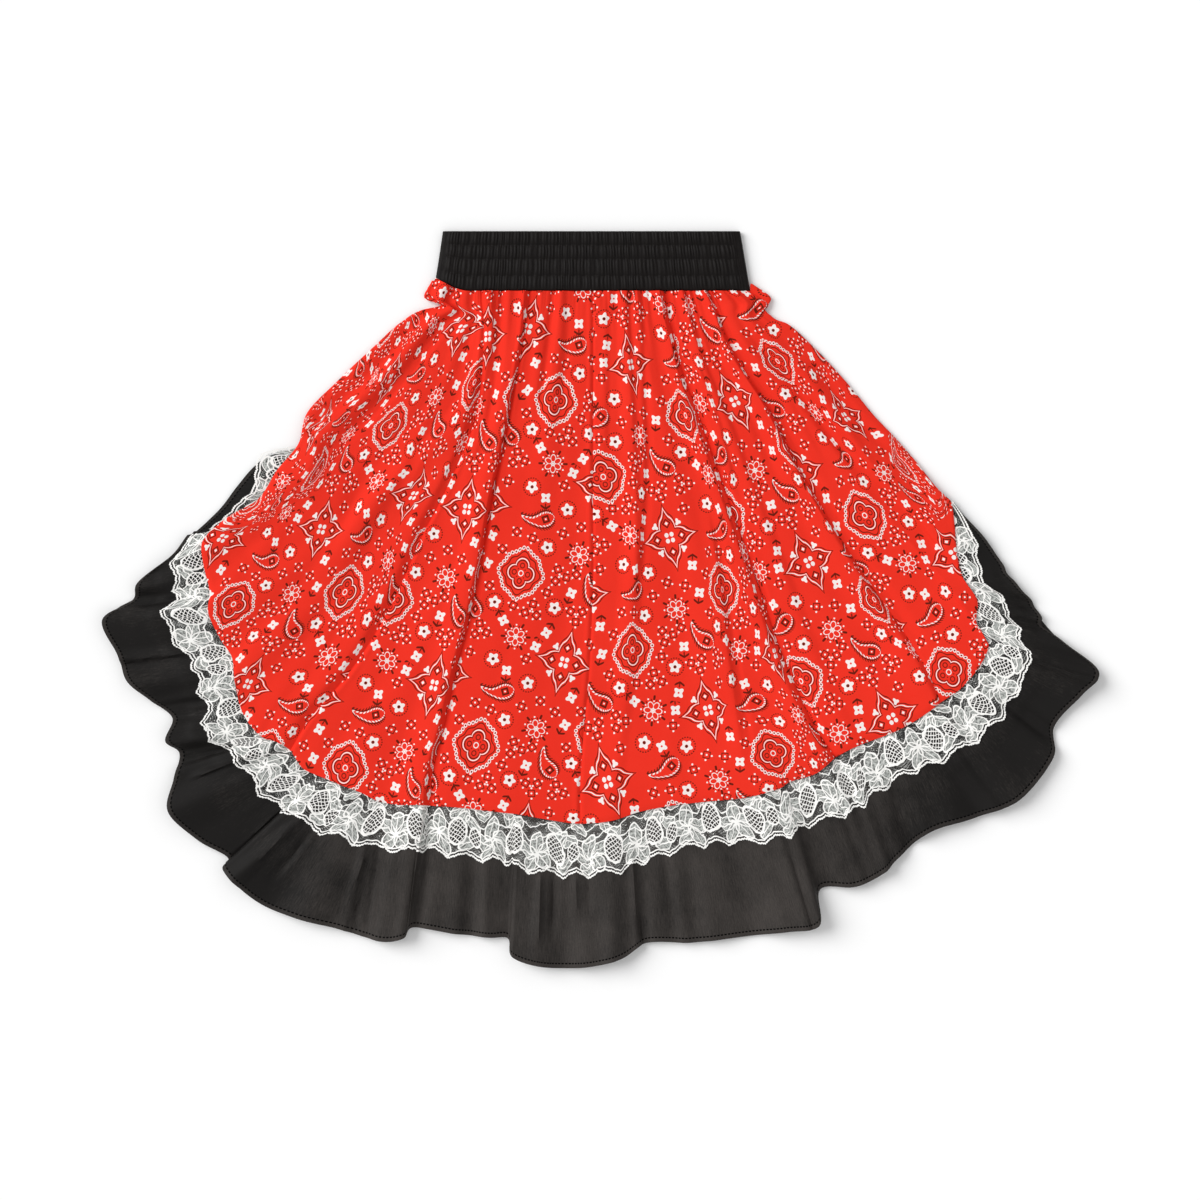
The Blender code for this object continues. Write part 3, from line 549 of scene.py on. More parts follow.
def flat_cut(item):
    """Width, length and area in metres of a piece's flat cloth.

    They are read off its cloth map. Width and area are lowered together where MOST_CLOTH holds.
    """
    mesh = item.data
    places = np.empty(len(mesh.loops) * 2, dtype=np.float32)
    mesh.uv_layers["cloth"].data.foreach_get("uv", places)
    corners = places.reshape(-1, 4, 2).astype(float)
    a, b = corners[:, 2] - corners[:, 0], corners[:, 3] - corners[:, 1]
    # The map and the mesh hold both sides of the cloth, so half of each counts
    area = np.abs(a[:, 0] * b[:, 1] - a[:, 1] * b[:, 0]).sum() / 4.0
    shown = np.empty(len(mesh.polygons))
    mesh.polygons.foreach_get("area", shown)
    share = min(1.0, MOST_CLOTH * shown.sum() / 2.0 / area)
    width, length = np.ptp(corners.reshape(-1, 2), axis=0)
    return (float(width * share), float(length)), float(area * share)


def dress(item, nodes):
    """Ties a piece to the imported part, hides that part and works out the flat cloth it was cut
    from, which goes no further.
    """
    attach(item, "root")
    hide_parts(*nodes)
    flat, area = flat_cut(item)


# Node helpers ----------------------------------------------------------------------------------

def operator(operation):
    """A way to write one math node as an operator."""
    return lambda value, *others: value.nodes.math(operation, value, *others)


class Value:
    """A socket of a material that sums can be written with. Masks are joined by & and |."""

    def __init__(self, nodes, socket):
        self.nodes, self.socket = nodes, socket

    __add__ = operator("ADD")
    __sub__ = operator("SUBTRACT")
    __mul__ = __and__ = operator("MULTIPLY")
    __truediv__ = operator("DIVIDE")
    __lt__ = operator("LESS_THAN")
    __gt__ = operator("GREATER_THAN")
    __abs__ = operator("ABSOLUTE")
    __or__ = operator("MAXIMUM")

    def __invert__(self):
        return self.nodes.math("SUBTRACT", 1.0, self)

    def near(self, centre, half):
        """1 within half of the centre."""
        return abs(self - centre) < half


class Nodes:
    """Short ways to add shader nodes to a material."""

    def __init__(self, name):
        self.material = bpy.data.materials.new(name)
        self.material.use_nodes = True
        self.tree = self.material.node_tree
        self.shader = self.tree.nodes["Principled BSDF"]

    def feed(self, node, values):
        """Links a node's inputs to sockets and sets the others as constants."""
        for place, value in values.items():
            if isinstance(value, Value):
                self.tree.links.new(value.socket, node.inputs[place])
            else:
                node.inputs[place].default_value = value

    def add(self, kind, values=None, out=0, **settings):
        """A node fed with values, given back as one of its outputs."""
        node = self.tree.nodes.new("ShaderNode" + kind)
        for key, value in settings.items():
            setattr(node, key, value)
        self.feed(node, values or {})
        return Value(self, node.outputs[out])

    def math(self, operation, *values):
        return self.add("Math", dict(enumerate(values)), operation=operation)

    def vector(self, operation, *values, out=0):
        return self.add("VectorMath", dict(enumerate(values)), out, operation=operation)

    def scale(self, value, factor):
        return self.add("VectorMath", {0: value, 3: factor}, operation="SCALE")

    def length(self, value):
        return self.vector("LENGTH", value, out=1)

    def dot(self, first, second):
        return self.vector("DOT_PRODUCT", first, second, out=1)

    def lesser(self, first, second):
        return self.math("MINIMUM", first, second)

    def greater(self, first, second):
        return self.math("MAXIMUM", first, second)

    def zigzag(self, value, top):
        return self.math("PINGPONG", value, top)

    def combine(self, x, y):
        return self.add("CombineXYZ", {0: x, 1: y})

    def split(self, value):
        x = self.add("SeparateXYZ", {0: value})
        return x, Value(self, x.socket.node.outputs[1])

    def choose(self, share, first, second):
        """second where share is 1, else first, for vectors."""
        return self.add("Mix", {0: share, 4: first, 5: second}, 1, data_type="VECTOR")

    def blend(self, share, first, second):
        """A colour between two, each a socket or three numbers."""
        values = {0: share}
        for place, colour in ((6, first), (7, second)):
            values[place] = colour if isinstance(colour, Value) else (*colour, 1.0)
        return self.add("Mix", values, 2, data_type="RGBA")

    def any(self, masks):
        return functools.reduce(self.greater, masks)

    def noise(self, place, scale, detail=2.0, rough=0.5):
        values = {"Vector": place, "Scale": scale, "Detail": detail, "Roughness": rough}
        return self.add("TexNoise", values)

    def polar(self, point):
        x, y = self.split(point)
        return self.length(point), self.math("ARCTAN2", y, x)

    def wave(self, angle, times, shift=0.0):
        return self.math("COSINE", self.math("MULTIPLY_ADD", angle, float(times), shift))

    def fold_round(self, radius, angle, times, turn=0.0):
        """The point's place in one of the like sectors of a circle, along its middle."""
        step = 2.0 * math.pi / times
        local = self.math("WRAP", angle + turn, step / 2, -step / 2)
        return radius * self.math("COSINE", local), radius * self.math("SINE", local)

    def away(self, x, y, at):
        """Distance from a point on the x axis."""
        return self.length(self.combine(x - at, y))

    def bar(self, x, y, start, end, half):
        """1 on a rounded bar along x from start to end."""
        return self.away(x, y, self.lesser(self.greater(x, start), end)) < half

    def scalar_curve(self, value, stops):
        """A number read off a smooth curve given by stops between 0 and 1."""
        curve_value = self.add("FloatCurve", {1: value})
        mapping = curve_value.socket.node.mapping
        points = mapping.curves[0].points
        points[0].location, points[1].location = stops[0], stops[-1]
        for stop in stops[1:-1]:
            points.new(*stop)
        mapping.update()
        return curve_value

    def cloth(self, scale=1000.0):
        """The cloth map in metres, and times the scale: in mm unless told otherwise."""
        uv = self.add("UVMap", uv_map="cloth")
        return uv, self.scale(uv, scale)

    def finish(self, values, height, distance, strength):
        """Feeds the shader, with a bump of the given height socket, and gives the material."""
        bump = {"Height": height, "Distance": distance, "Strength": strength}
        self.feed(self.shader, {**values, "Normal": self.add("Bump", bump)})
        return self.material


# Materials -------------------------------------------------------------------------------------

LATTICE = (116.0, 177.0, -38.0)  # width and height of the print's repeat, and its drop
# The print's motifs in one repeat: x, y in mm from the star, and degrees turned
STARS = ((0, 0, 0),)
MEDALLIONS = ((52, 63, 0),)
FLOWERS = ((-43, 70, 20), (-23, -50, 0), (33, -80, 50), (46, -24, 10), (-30, 29, 35))
BLOSSOMS = (
    (-32, -8, 10), (-10, -68, 190), (46, -64, -40), (-25, -24, 20), (-54, 22, 170), (16, 32, 15),
    (17, 60, 200),
)
SIX_PETALS = ((-10, 71, 8), (-54, -13, 20))
PAISLEYS = ((12, -70, 215), (-52, 44, 150))
TRIOS = ((-25, -82, 0), (-45, -42, 30), (0, -48, 80), (26, -49, 10))
SINGLES = (
    (-38, 6, 12), (-13, 43, 30), (-30, 53, 5), (4, 50, 20), (40, 23, 40), (21, -25, 0),
    (24, 82, 25), (57, 26, 10), (29, 43, 35), (52, -81, 15), (-34, -63, 5), (-9, 90, 40),
)


def nearest_motif(n, cell, motifs):
    """The point seen from the nearest of the motifs, in mm, turned with it."""
    width, height, drop = LATTICE
    best, least = None, None
    for x, y, degrees in motifs:
        column = x / width
        row = (y - drop * column) / height
        local = n.vector("FRACTION", n.vector("ADD", cell, (0.5 - column + 8, 0.5 - row + 8, 0)))
        turn = math.radians(degrees)
        cos, sin = math.cos(turn), math.sin(turn)
        axes = []
        for right, up in ((cos, sin), (-sin, cos)):
            ax, ay = width * right + drop * up, height * up
            axes.append(n.dot(local, (ax, ay, 0.0)) - 0.5 * (ax + ay))
        point = n.combine(*axes)
        distance = n.length(point)
        if best is None:
            best, least = point, distance
        else:
            best = n.choose(distance < least, best, point)
            least = n.lesser(least, distance)
    return best, least


def print_masks(n, cell):
    """Masks of the white and the dark parts of the print."""
    # White flowers with five petals in a ring of dark dots
    radius, angle = n.polar(nearest_motif(n, cell, FLOWERS)[0])
    white = (radius < n.wave(angle, 5) * 1.1 + 5.4) & (radius > 1.7)
    dark = (radius.near(8.8, 0.6) & (n.wave(angle, 21) > -0.1)) | (radius < 1.5)
    # Four-petalled blossoms on a stem with two leaves
    point, _ = nearest_motif(n, cell, BLOSSOMS)
    radius, angle = n.polar(point)
    white |= (radius < n.wave(angle, 4, math.pi) * 1.2 + 4.7) & (radius > 1.0)
    x, y = n.split(point)
    side, down = abs(x), y * -1.0
    dark |= n.bar(down, x, 6.0, 11.0, 0.6)
    dark |= n.bar(side, side * 0.6 + down - 10.6, 0.8, 4.0, 1.1)
    # Outlined flowers with six petals, dots and leaf ticks
    radius, angle = n.polar(nearest_motif(n, cell, SIX_PETALS)[0])
    x, y = n.fold_round(radius, angle, 6)
    petal = n.length(n.combine((x - 5.4) / 3.6, y / 2.6))
    white |= petal.near(1.0, 0.13) | (radius < 1.2) | (n.away(x, y, 12.0) < 0.85)
    x, y = n.fold_round(radius, angle, 6, math.pi / 6.0)
    white |= n.away(x, y, 9.2) < 0.75
    dark |= n.bar(x, y, 11.4, 14.0, 1.1)
    x, y = n.fold_round(radius, angle, 12, math.pi / 12.0)
    dark |= n.bar(x, y, 9.8, 11.0, 0.5)
    # Single and threefold clusters: a dark square with one dot in it and four around it
    x, y = n.fold_round(*n.polar(nearest_motif(n, cell, TRIOS)[0]), 3)
    single, distance = nearest_motif(n, cell, SINGLES)
    point = n.choose(distance < 7.0, n.combine(x - 6.8, y), single)
    x, y = n.split(n.vector("ABSOLUTE", point))
    low, high = n.lesser(x, y), n.greater(x, y)
    dark |= high.near(3.2, 0.42)
    white |= n.lesser(n.away(high, low, 5.3), n.length(point)) < 0.98
    # Paisleys: a bent drop with teeth, a line, beads and a square heart
    x, y = n.split(nearest_motif(n, cell, PAISLEYS)[0])
    y = y - n.math("POWER", n.greater(x * 0.055 - 0.1, 0.0), 2.0) * 11.0
    place = (x + 12.0) / 32.0
    width = n.scalar_curve(place, (
        (0.0, 0.0), (0.03, 0.42), (0.12, 0.78), (0.28, 0.98), (0.5, 0.86), (0.7, 0.62),
        (0.86, 0.5), (0.95, 0.38), (1.0, 0.0)))
    inward = width * 8.8 - abs(y)
    inside = place.near(0.5, 0.49) & (inward > -4.0)
    along = abs(y) * 0.75 + x
    teeth = inward.near(-1.2, 1.1) & (n.zigzag(along, 1.2) < 0.5)
    dark |= inside & (inward.near(0.3, 0.7) | teeth)
    white |= inside & inward.near(2.1, 0.85) & (n.zigzag(along, 1.4) < 0.8)
    x, y = abs(x + 2.6), abs(y)
    dark |= n.greater(x, y).near(2.7, 0.9)
    white |= n.away(x, y, 0.0) < 0.8
    # Medallions: a chain, a dark line, a white quatrefoil and rings
    point = n.vector("MULTIPLY", nearest_motif(n, cell, MEDALLIONS)[0], (1.14, 1.0, 1.0))
    radius, angle = n.polar(point)
    lobes = n.wave(angle, 4) * 1.2 + n.wave(angle, 8)
    x, y = n.fold_round(radius, angle, 34)
    link = n.away(x, y, lobes + 24.0)
    white |= link.near(1.55, 0.5)
    dark |= (link < 0.8) | (radius - lobes * 1.3).near(19.3, 0.55)
    edge = radius - (n.math("POWER", abs(n.wave(angle, 2)), 0.8) * 4.8 + 10.2)
    white |= edge.near(0.0, 0.55) | radius.near(2.6, 0.5)
    dark |= edge.near(-1.8, 0.6) | edge.near(1.7, 0.45)
    x, y = n.fold_round(radius, angle, 4)
    dark |= n.away(x, y, 7.9).near(2.4, 0.5)
    x, y = n.fold_round(radius, angle, 4, math.pi / 4.0)
    dark |= n.away(x, y, 5.6) < 0.65
    # Stars: an ogee with four points, lumps between them and four dots at the middle
    point = n.vector("MULTIPLY", nearest_motif(n, cell, STARS)[0], (1.12, 0.98, 1.0))
    radius, angle = n.polar(point)
    x, y = n.fold_round(radius, angle, 4)
    turn = abs(n.math("ARCTAN2", y, x)) * (4.0 / math.pi)
    edge = radius / (n.scalar_curve(turn, (
        (0.0, 1.0), (0.07, 0.86), (0.2, 0.73), (0.45, 0.64), (0.72, 0.53), (1.0, 0.42))) * 32.5)
    white |= edge.near(0.91, 0.03)
    dark |= edge.near(1.04, 0.03) | edge.near(0.79, 0.032)
    gem = abs(x - 14.2) + abs(y)
    dark |= gem.near(4.1, 0.85)
    white |= gem < 1.9
    x, y = n.fold_round(radius, angle, 4, math.pi / 4.0)
    white |= n.away(x, y, 4.1) < 2.3
    radius, angle = n.polar(n.combine(x - 18.6, y))
    white |= radius < n.wave(angle, 3, math.pi) * 0.9 + 2.9
    return white, dark


def weave_height(n, uv, pitch):
    """A plain weave: threads over and under each other at a pitch in mm."""
    x, y = n.split(n.scale(uv, 1000.0 / pitch * math.pi))
    return n.math("SINE", x) * n.math("SINE", y)


def object_place(n):
    return n.add("TexCoord", out="Object")


def print_material(settings):
    """Red calico with its print. The cloth map gives the place in the print."""
    n = Nodes("print_cotton_dressed")
    uv, place = n.cloth(1000.0 / settings.print_scale)
    width, height, drop = LATTICE
    white, dark = print_masks(n, n.combine(
        n.dot(place, (1.0 / width, 0.0, 0.0)),
        n.dot(place, (-drop / width / height, 1.0 / height, 0.0))))
    coords = object_place(n)
    thread = n.noise(coords, 900.0)
    red, green, blue = settings.red
    base = n.blend(
        n.noise(coords, 14.0, 3.0),
        (red * 0.93, green * 0.86, blue * 0.86), (red * 1.05, green * 1.16, blue * 1.16))
    base = n.blend(thread * 0.12, base, (red, 0.11, 0.09))
    ink = n.blend(dark * 0.92, base, settings.dark)
    values = {
        "Base Color": n.blend(white * 0.95, ink, settings.white),
        "Roughness": thread * 0.12 + 0.70,
        "Specular IOR Level": 0.08,
    }
    return n.finish(values, weave_height(n, uv, 0.6) + thread * 1.5, 0.00012, 0.5)


def ruffle_material(settings):
    """Black broadcloth with a stitched narrow hem, with painted shade towards the skirt's sides
    and a painted highlight on the hem band. Its map gives mm along and from the edge.
    """
    n = Nodes("black_broadcloth_dressed")
    uv, place = n.cloth()
    x, y = n.split(place)
    stitch = y.near(settings.hem_width, 0.7) & (n.zigzag(x, settings.stitch_length / 2) < 1.0)
    coords = object_place(n)
    cloud = n.noise(coords, 20.0, 4.0)
    streaks = n.noise(n.vector("MULTIPLY", place, (1.6, 0.08, 1.0)), 1.0, 3.0)
    specks = n.noise(n.vector("MULTIPLY", place, (1.0, 0.45, 1.0)), 0.8, 2.0, 0.8)
    # Painted shade: darker towards both sides of the skirt
    side_shade = n.math("SMOOTH_MIN", abs(n.split(coords)[0]) * 4.0 - 0.8, 0.7, 0.1)
    tone = specks * 0.7 + (cloud + streaks) * 1.2 - 0.95 - n.greater(side_shade, 0.0)
    base = n.blend(tone, settings.black, settings.black_light)
    # Painted highlight: the hem band inside the stitching is lightened
    hem_highlight = (y < settings.hem_width) * 0.3
    base = n.blend(hem_highlight, base, [1.2 * part for part in settings.black_light])
    values = {
        "Base Color": n.blend(stitch, base, (0.002, 0.002, 0.002)),
        "Roughness": cloud * 0.14 + 0.56,
        "Specular IOR Level": stitch * -0.18 + 0.18,
        "Sheen Weight": 0.02,
        "Sheen Roughness": 0.4,
    }
    return n.finish(values, streaks * 0.5 + weave_height(n, uv, 0.7) * 0.25 - stitch, 0.0003, 0.6)


LACE_REPEAT = 107.0
# Petals and leaves of the lace in one repeat: x, y of the middle (mm, y from the outer edge),
# half length, half width and degrees
LACE_PETALS = (
    (14, 30, 10.2, 6.7, 90), (5, 22, 9.6, 6.4, 160), (9, 11, 9.1, 6.1, 235),
    (21, 11, 9.4, 6.4, 305), (24, 22, 9.6, 6.4, 20), (40, 38, 9, 5.9, 60),
    (50, 33, 8.4, 5.6, 150), (44, 12, 9, 5.6, 30), (70, 30, 10.8, 6.9, 75),
    (62, 19, 10.2, 6.7, 140), (67, 8.5, 7.8, 5.4, 215), (79, 10, 9.6, 6.4, 300),
    (82, 23, 10.2, 6.4, 10), (98, 41, 8.4, 5.6, 40), (33, 45, 7.8, 5.1, 10),
    (60, 46, 8.4, 5.1, 170), (88, 46, 7.2, 5.1, 100),
)
# Ovals of coarse diamond mesh
LACE_OVALS = ((34, 25, 9.0, 13.5, 15), (96, 25, 9.5, 14.0, -10), (53, 21, 6.0, 9.0, 0))


def lace_oval(n, x, y, shape):
    """The place seen from an oval of the lace, as shares of the oval's half sizes."""
    cx, cy, long, short, degrees = shape
    half = LACE_REPEAT / 2.0
    point = n.combine(n.math("WRAP", x - cx, half, -half), y - cy)
    cos, sin = math.cos(math.radians(degrees)), math.sin(math.radians(degrees))
    return n.combine(
        n.dot(point, (cos / long, sin / long, 0.0)),
        n.dot(point, (-sin / short, cos / short, 0.0)))


def lace_material(settings):
    """Corded net lace: petals, coarse mesh, curls and a picot edge, open between its threads."""
    n = Nodes("white_lace_dressed")
    _, place = n.cloth()
    x, outer = n.split(place)
    wide = n.noise(place, 0.12)
    wobble = wide * 3.0 - 1.5
    x, y = x + wobble, outer + wobble * 0.6
    petals, cords, veins = [], [], []
    for shape in LACE_PETALS:
        local = lace_oval(n, x, y, shape)
        size = n.length(local)
        u, v = n.split(local)
        petals.append(size < 1.0)
        cords.append(size.near(1.0, 0.09))
        veins.append(petals[-1] & v.near(0.0, 0.07) & (u < 0.75))
    sizes = [n.length(lace_oval(n, x, y, shape)) for shape in LACE_OVALS]
    oval = n.any([size < 1.0 for size in sizes])
    rims = n.any([size.near(1.0, 0.1) for size in sizes])
    not_oval = ~oval
    # Curled stems, one above and one below the middle
    curl = n.math("SINE", x * (2 * math.pi / 53.5)) * 4.0
    curl = curl + n.math("SINE", x * (2 * math.pi / 26.75) + 1.3) * 2.2
    cords += [(y - curl).near(17.0, 0.75), (y + curl).near(37.0, 0.75)]
    petal, veins = n.any(petals) & not_oval, n.any(veins) & not_oval
    # A picot edge, two more cords along the strip and an open gap beside the edge
    picots = n.math("COSINE", x * (2 * math.pi / 2.3)) * 0.35
    cord = (n.any(cords) & not_oval) | rims | (outer + picots).near(1.15, 0.95)
    cord |= outer.near(4.5, 0.75) | outer.near(47.0, 0.6)
    gap = ~outer.near(2.9, 0.85)
    # Diagonal threads of the coarse mesh and the fine net
    ways = (x + y, x - y)
    coarse, net = (
        n.any([n.zigzag(way, pitch / 2.0) < pitch / 2.0 * share for way in ways])
        for pitch, share in ((4.6, 0.24), (2.7, 0.2)))
    dots = n.add("TexVoronoi", {"Vector": n.combine(x, y), "Scale": 0.42}, "Distance")
    patchy = net & n.greater(wide * 1.6 - 0.6, 0.06)
    mesh = (coarse & oval) | ((patchy | (dots < 0.16)) & not_oval)
    bare_mesh = mesh & ~petal
    grain = n.noise(place, 0.42, 4.0)
    cover = cord * 0.99 | (bare_mesh & gap) * 0.9 | (veins & gap) * 0.97
    cover |= petal & gap & (grain * 2.6 - 0.84)
    raised_threads = cord | veins
    values = {
        "Alpha": n.lesser(cover, 1.0),
        "Base Color": n.blend(raised_threads | bare_mesh, settings.petal, settings.white),
        "Roughness": 0.62,
        "Sheen Weight": 0.15,
    }
    return n.finish(values, raised_threads * 0.7 + grain * 0.4, 0.0006, 0.7)


def band_material(settings):
    """Black satin with fine creases down each channel, and painted shade that darkens the creases.
    """
    n = Nodes("black_satin_dressed")
    _, place = n.cloth()
    creases = n.noise(n.vector("MULTIPLY", place, (1.1, 0.05, 1.0)), 1.0, 3.0)
    values = {
        # Painted shade: the colour goes darker in the creases and lighter between them
        "Base Color": n.blend(creases, settings.black, settings.black_light),
        "Roughness": creases * 0.2 + 0.44,
        "Specular IOR Level": 0.14,
    }
    return n.finish(values, creases, 0.0006, 0.7)


# Pieces ----------------------------------------------------------------------------------------

FRONT_ROWS = 190
COLUMN_PITCH = 2.3


def gore_columns(gore, pitch):
    start, end = GORE_ENDS[gore], GORE_ENDS[gore + 1]
    length = float(hem_length(end) - hem_length(start))
    lengths = np.linspace(hem_length(start), hem_length(end), int(length / pitch) + 2)
    return np.interp(lengths, HEM_LENGTH, range(LAST_STATION + 1))


def front_rows():
    """Rows from waist to hem, closer together at the waist's gathers and at the hem."""
    even = np.linspace(0.0, 1.0, FRONT_ROWS)
    return even - 0.035 * np.sin(2 * math.pi * even) + 0.006 * np.sin(4 * math.pi * even)


def front_surface(places, v):
    """The front's upper side at full detail."""
    plan = body_plan(places, v)
    height = body_height(places, v) - seam_groove(places, v)
    down = np.asarray(v)[:, None]
    turned_edge = 0.9 * smooth(0.9915, 1.0, down)
    x, y = plan[..., 0], plan[..., 1]
    uneven = 0.35 * np.sin(x / 23.0 + 1.4 * np.sin(y / 41.0))
    uneven *= np.sin(y / 31.0 + 0.8 * np.sin(x / 37.0))
    uneven += 0.16 * np.sin(x / 9.1 + y / 17.0) * np.sin(y / 13.0 - x / 29.0)
    calm = smooth(0.0, 0.06, down) * (1.0 - smooth(0.96, 1.0, down))
    return raised(plan, height + uneven * calm - turned_edge)


def hem_under(places, inside):
    """The front's underside at the hem, or that many mm inside it."""
    v = np.array([1.0 - inside / GORE_LENGTH])
    return raised(body_plan(places, v)[0], body_height(places, v)[0] - WALL)


# Dips in the ruffle's right edge: place and half width in stations, depth in mm
NOTCHES = ((45.45, 0.26, 9.0), (46.50, 0.22, -3.0), (47.50, 0.20, 3.0))


def ruffle_waves(places, share, length):
    """Folds and gathers of the ruffle, in mm, growing from the seam to the edge."""
    rise = np.zeros((len(share), len(places)))
    down = np.asarray(share)[:, None]
    for fold in RUFFLE_FOLDS:
        centre = mix(fold.hem_at, fold.edge_at, down)
        lean = 0.8 if fold.rise > 0 else 0.0
        shape = ridge(places[None] - centre, fold.width * (0.6 + 0.4 * down), lean)
        ends = smooth(fold.start - 0.15, fold.start + 0.25, down)
        if fold.end < REACHES_END:
            ends = ends * (1.0 - smooth(fold.end - 0.25, fold.end, down))
        rise += 2.1 * fold.rise * ends * shape
    along = hem_length(places)[None]
    warp = along + 3.0 * np.sin(along / 19.0) + 2.0 * np.sin(along / 7.3)
    gather = 0.5 - 0.5 * np.cos(2.0 * math.pi * warp / 10.5)
    rise += 0.9 * gather * smooth(0.05, 0.2, down) * np.maximum(1.0 - down / 0.75, 0.0)
    soft = np.sin(2.0 * math.pi * along / 47.0 + 1.7 * np.sin(along / 60.0))
    soft = soft + 0.7 * np.sin(2.0 * math.pi * along / 26.0 + 2.1 * np.sin(along / 33.0) + down)
    rise += 2.0 * soft * smooth(0.15, 0.9, down)
    return rise * smooth(12.0, 45.0, length)[None]


def past_lace(lace, length, distance):
    """The ruffle's room past the lace, and how far it has sunk below the lace: from 0 to 1."""
    room = smooth(14.0, 30.0, length - lace)
    return room, room[None] * smooth(3.0, 15.0, distance - lace[None])


def ruffle_surface(places, steps):
    """The front ruffle from inside the hem to its edge, and each point's distance to that edge."""
    rows = station(places)
    hem, inner = hem_under(places, 0.0), hem_under(places, HEM_OVERLAP)
    for edge in (hem, inner):
        edge[:, 2] -= LACE_DROP + LACE_WALL + LAYER_GAP
    out = rows[:, 2:4]
    length = np.hypot(*(out - rows[:, :2]).T)
    notch = sum(depth * np.exp(-(((places - at) / half) ** 2)) for at, half, depth in NOTCHES)
    out = mix(out, rows[:, :2], (notch / np.maximum(length, 1.0))[:, None])
    length = np.hypot(*(out - rows[:, :2]).T)
    share = np.asarray(steps)[:, None]
    distance = share * length[None]
    _, settled = past_lace(rows[:, 4], length, distance - 6.0)
    lowest = mix(RUFFLE_BASE, RUFFLE_LOW_BASE, settled) + WALL
    height = mix(hem[None, :, 2], lowest, smooth(0.0, 0.9, share))
    height = height + np.maximum(rows[:, 5], 0.0)[None] * share**0.8
    waves = ruffle_waves(places, steps, length)
    height = np.maximum(height + waves, lowest)
    plan = mix(hem[None, :, :2], out[None], share[..., None])
    grid = np.concatenate((inner[None], raised(plan, height)))
    return grid, np.concatenate(((length + HEM_OVERLAP)[None], length[None] - distance))


def strip_places(start, end, per_station):
    return np.linspace(start, end, int((end - start) * per_station) + 1)


def along_edge(points):
    """Length along the middle row of a strip, for its cloth map."""
    steps = np.linalg.norm(np.diff(points, axis=0), axis=1)
    return np.concatenate(([0.0], np.cumsum(steps)))


def make_front_gore(gore, star, grain, material):
    places = gore_columns(gore, COLUMN_PITCH)
    v = front_rows()
    top = front_surface(places, v)
    rise = body_folds(places, v)[0]
    coordinates = cloth_coordinates(top, gore, places, v, rise, star, grain)
    bottom = top - grid_normals(top) * CLOTH_THICK
    name = f"front_gore_{gore + 1}"
    return shell(name, top, bottom, coordinates, planar_layout(top), material)


def back_plan(points, scale=BACK_INSET):
    waist = BAND_BOTTOM - 0.5
    y = np.minimum(waist - (waist - points[..., 1]) * scale, waist)
    return np.stack((points[..., 0] * scale, y), axis=-1)


def back_troughs(x, y):
    """Soft troughs in the back, which otherwise lies flat on the surface."""
    angle = np.arctan2(x, 420.0 - y)
    radius = np.hypot(x, 420.0 - y)
    lines = (
        (-0.72, 0.035, 0.8), (-0.50, 0.020, 0.6), (-0.31, 0.030, 0.8), (-0.13, 0.018, 0.5),
        (0.03, 0.026, 0.7), (0.19, 0.020, 0.6), (0.36, 0.032, 0.8), (0.55, 0.022, 0.6),
        (0.71, 0.030, 0.7),
    )
    total = np.zeros_like(x)
    for middle, width, depth in lines:
        sway = 0.03 * np.sin(radius / 70.0 + 9.0 * middle)
        near = np.exp(-((angle - middle - sway) / width) ** 2)
        total += depth * near * smooth(110.0, 190.0, radius)
    return np.minimum(total, 0.9)


def make_back_gore(gore, star, grain, material):
    places = gore_columns(gore, 7.0)
    v = np.linspace(0.0, 1.0, 80)
    plan = back_plan(body_plan(places, v))
    trough = back_troughs(plan[..., 0], plan[..., 1])
    bottom = raised(plan, trough * 0.55)
    top = raised(plan, np.minimum(bottom[..., 2] + CLOTH_THICK, BACK_TOP))
    coordinates = cloth_coordinates(top, gore, places, v, trough, star, grain)
    coordinates[..., 0] *= -1.0
    name = f"back_gore_{gore + 1}"
    return shell(name, top, bottom, coordinates, planar_layout(top, top_main=False), material)


def make_front_ruffle(side, start, end, material):
    places = strip_places(start, end, 11)
    steps = np.concatenate((np.linspace(0.0, 0.94, 34), (0.955, 0.97, 0.985, 1.0)))
    top, from_edge = ruffle_surface(places, steps)
    top[-2:, :, 2] -= np.array((0.1, 0.45))[:, None]
    along = along_edge(top[len(steps) // 2])
    bottom = top - grid_normals(top) * CLOTH_THICK
    bottom[:2] = top[:2] - (0, 0, CLOTH_THICK)
    layout = strip_layout(len(top), len(places), along[-1], RUFFLE_DEPTH, cuts=2)
    coordinates = strip_map(along, from_edge)
    return shell(f"front_ruffle_{side}", top, bottom, coordinates, layout, material)


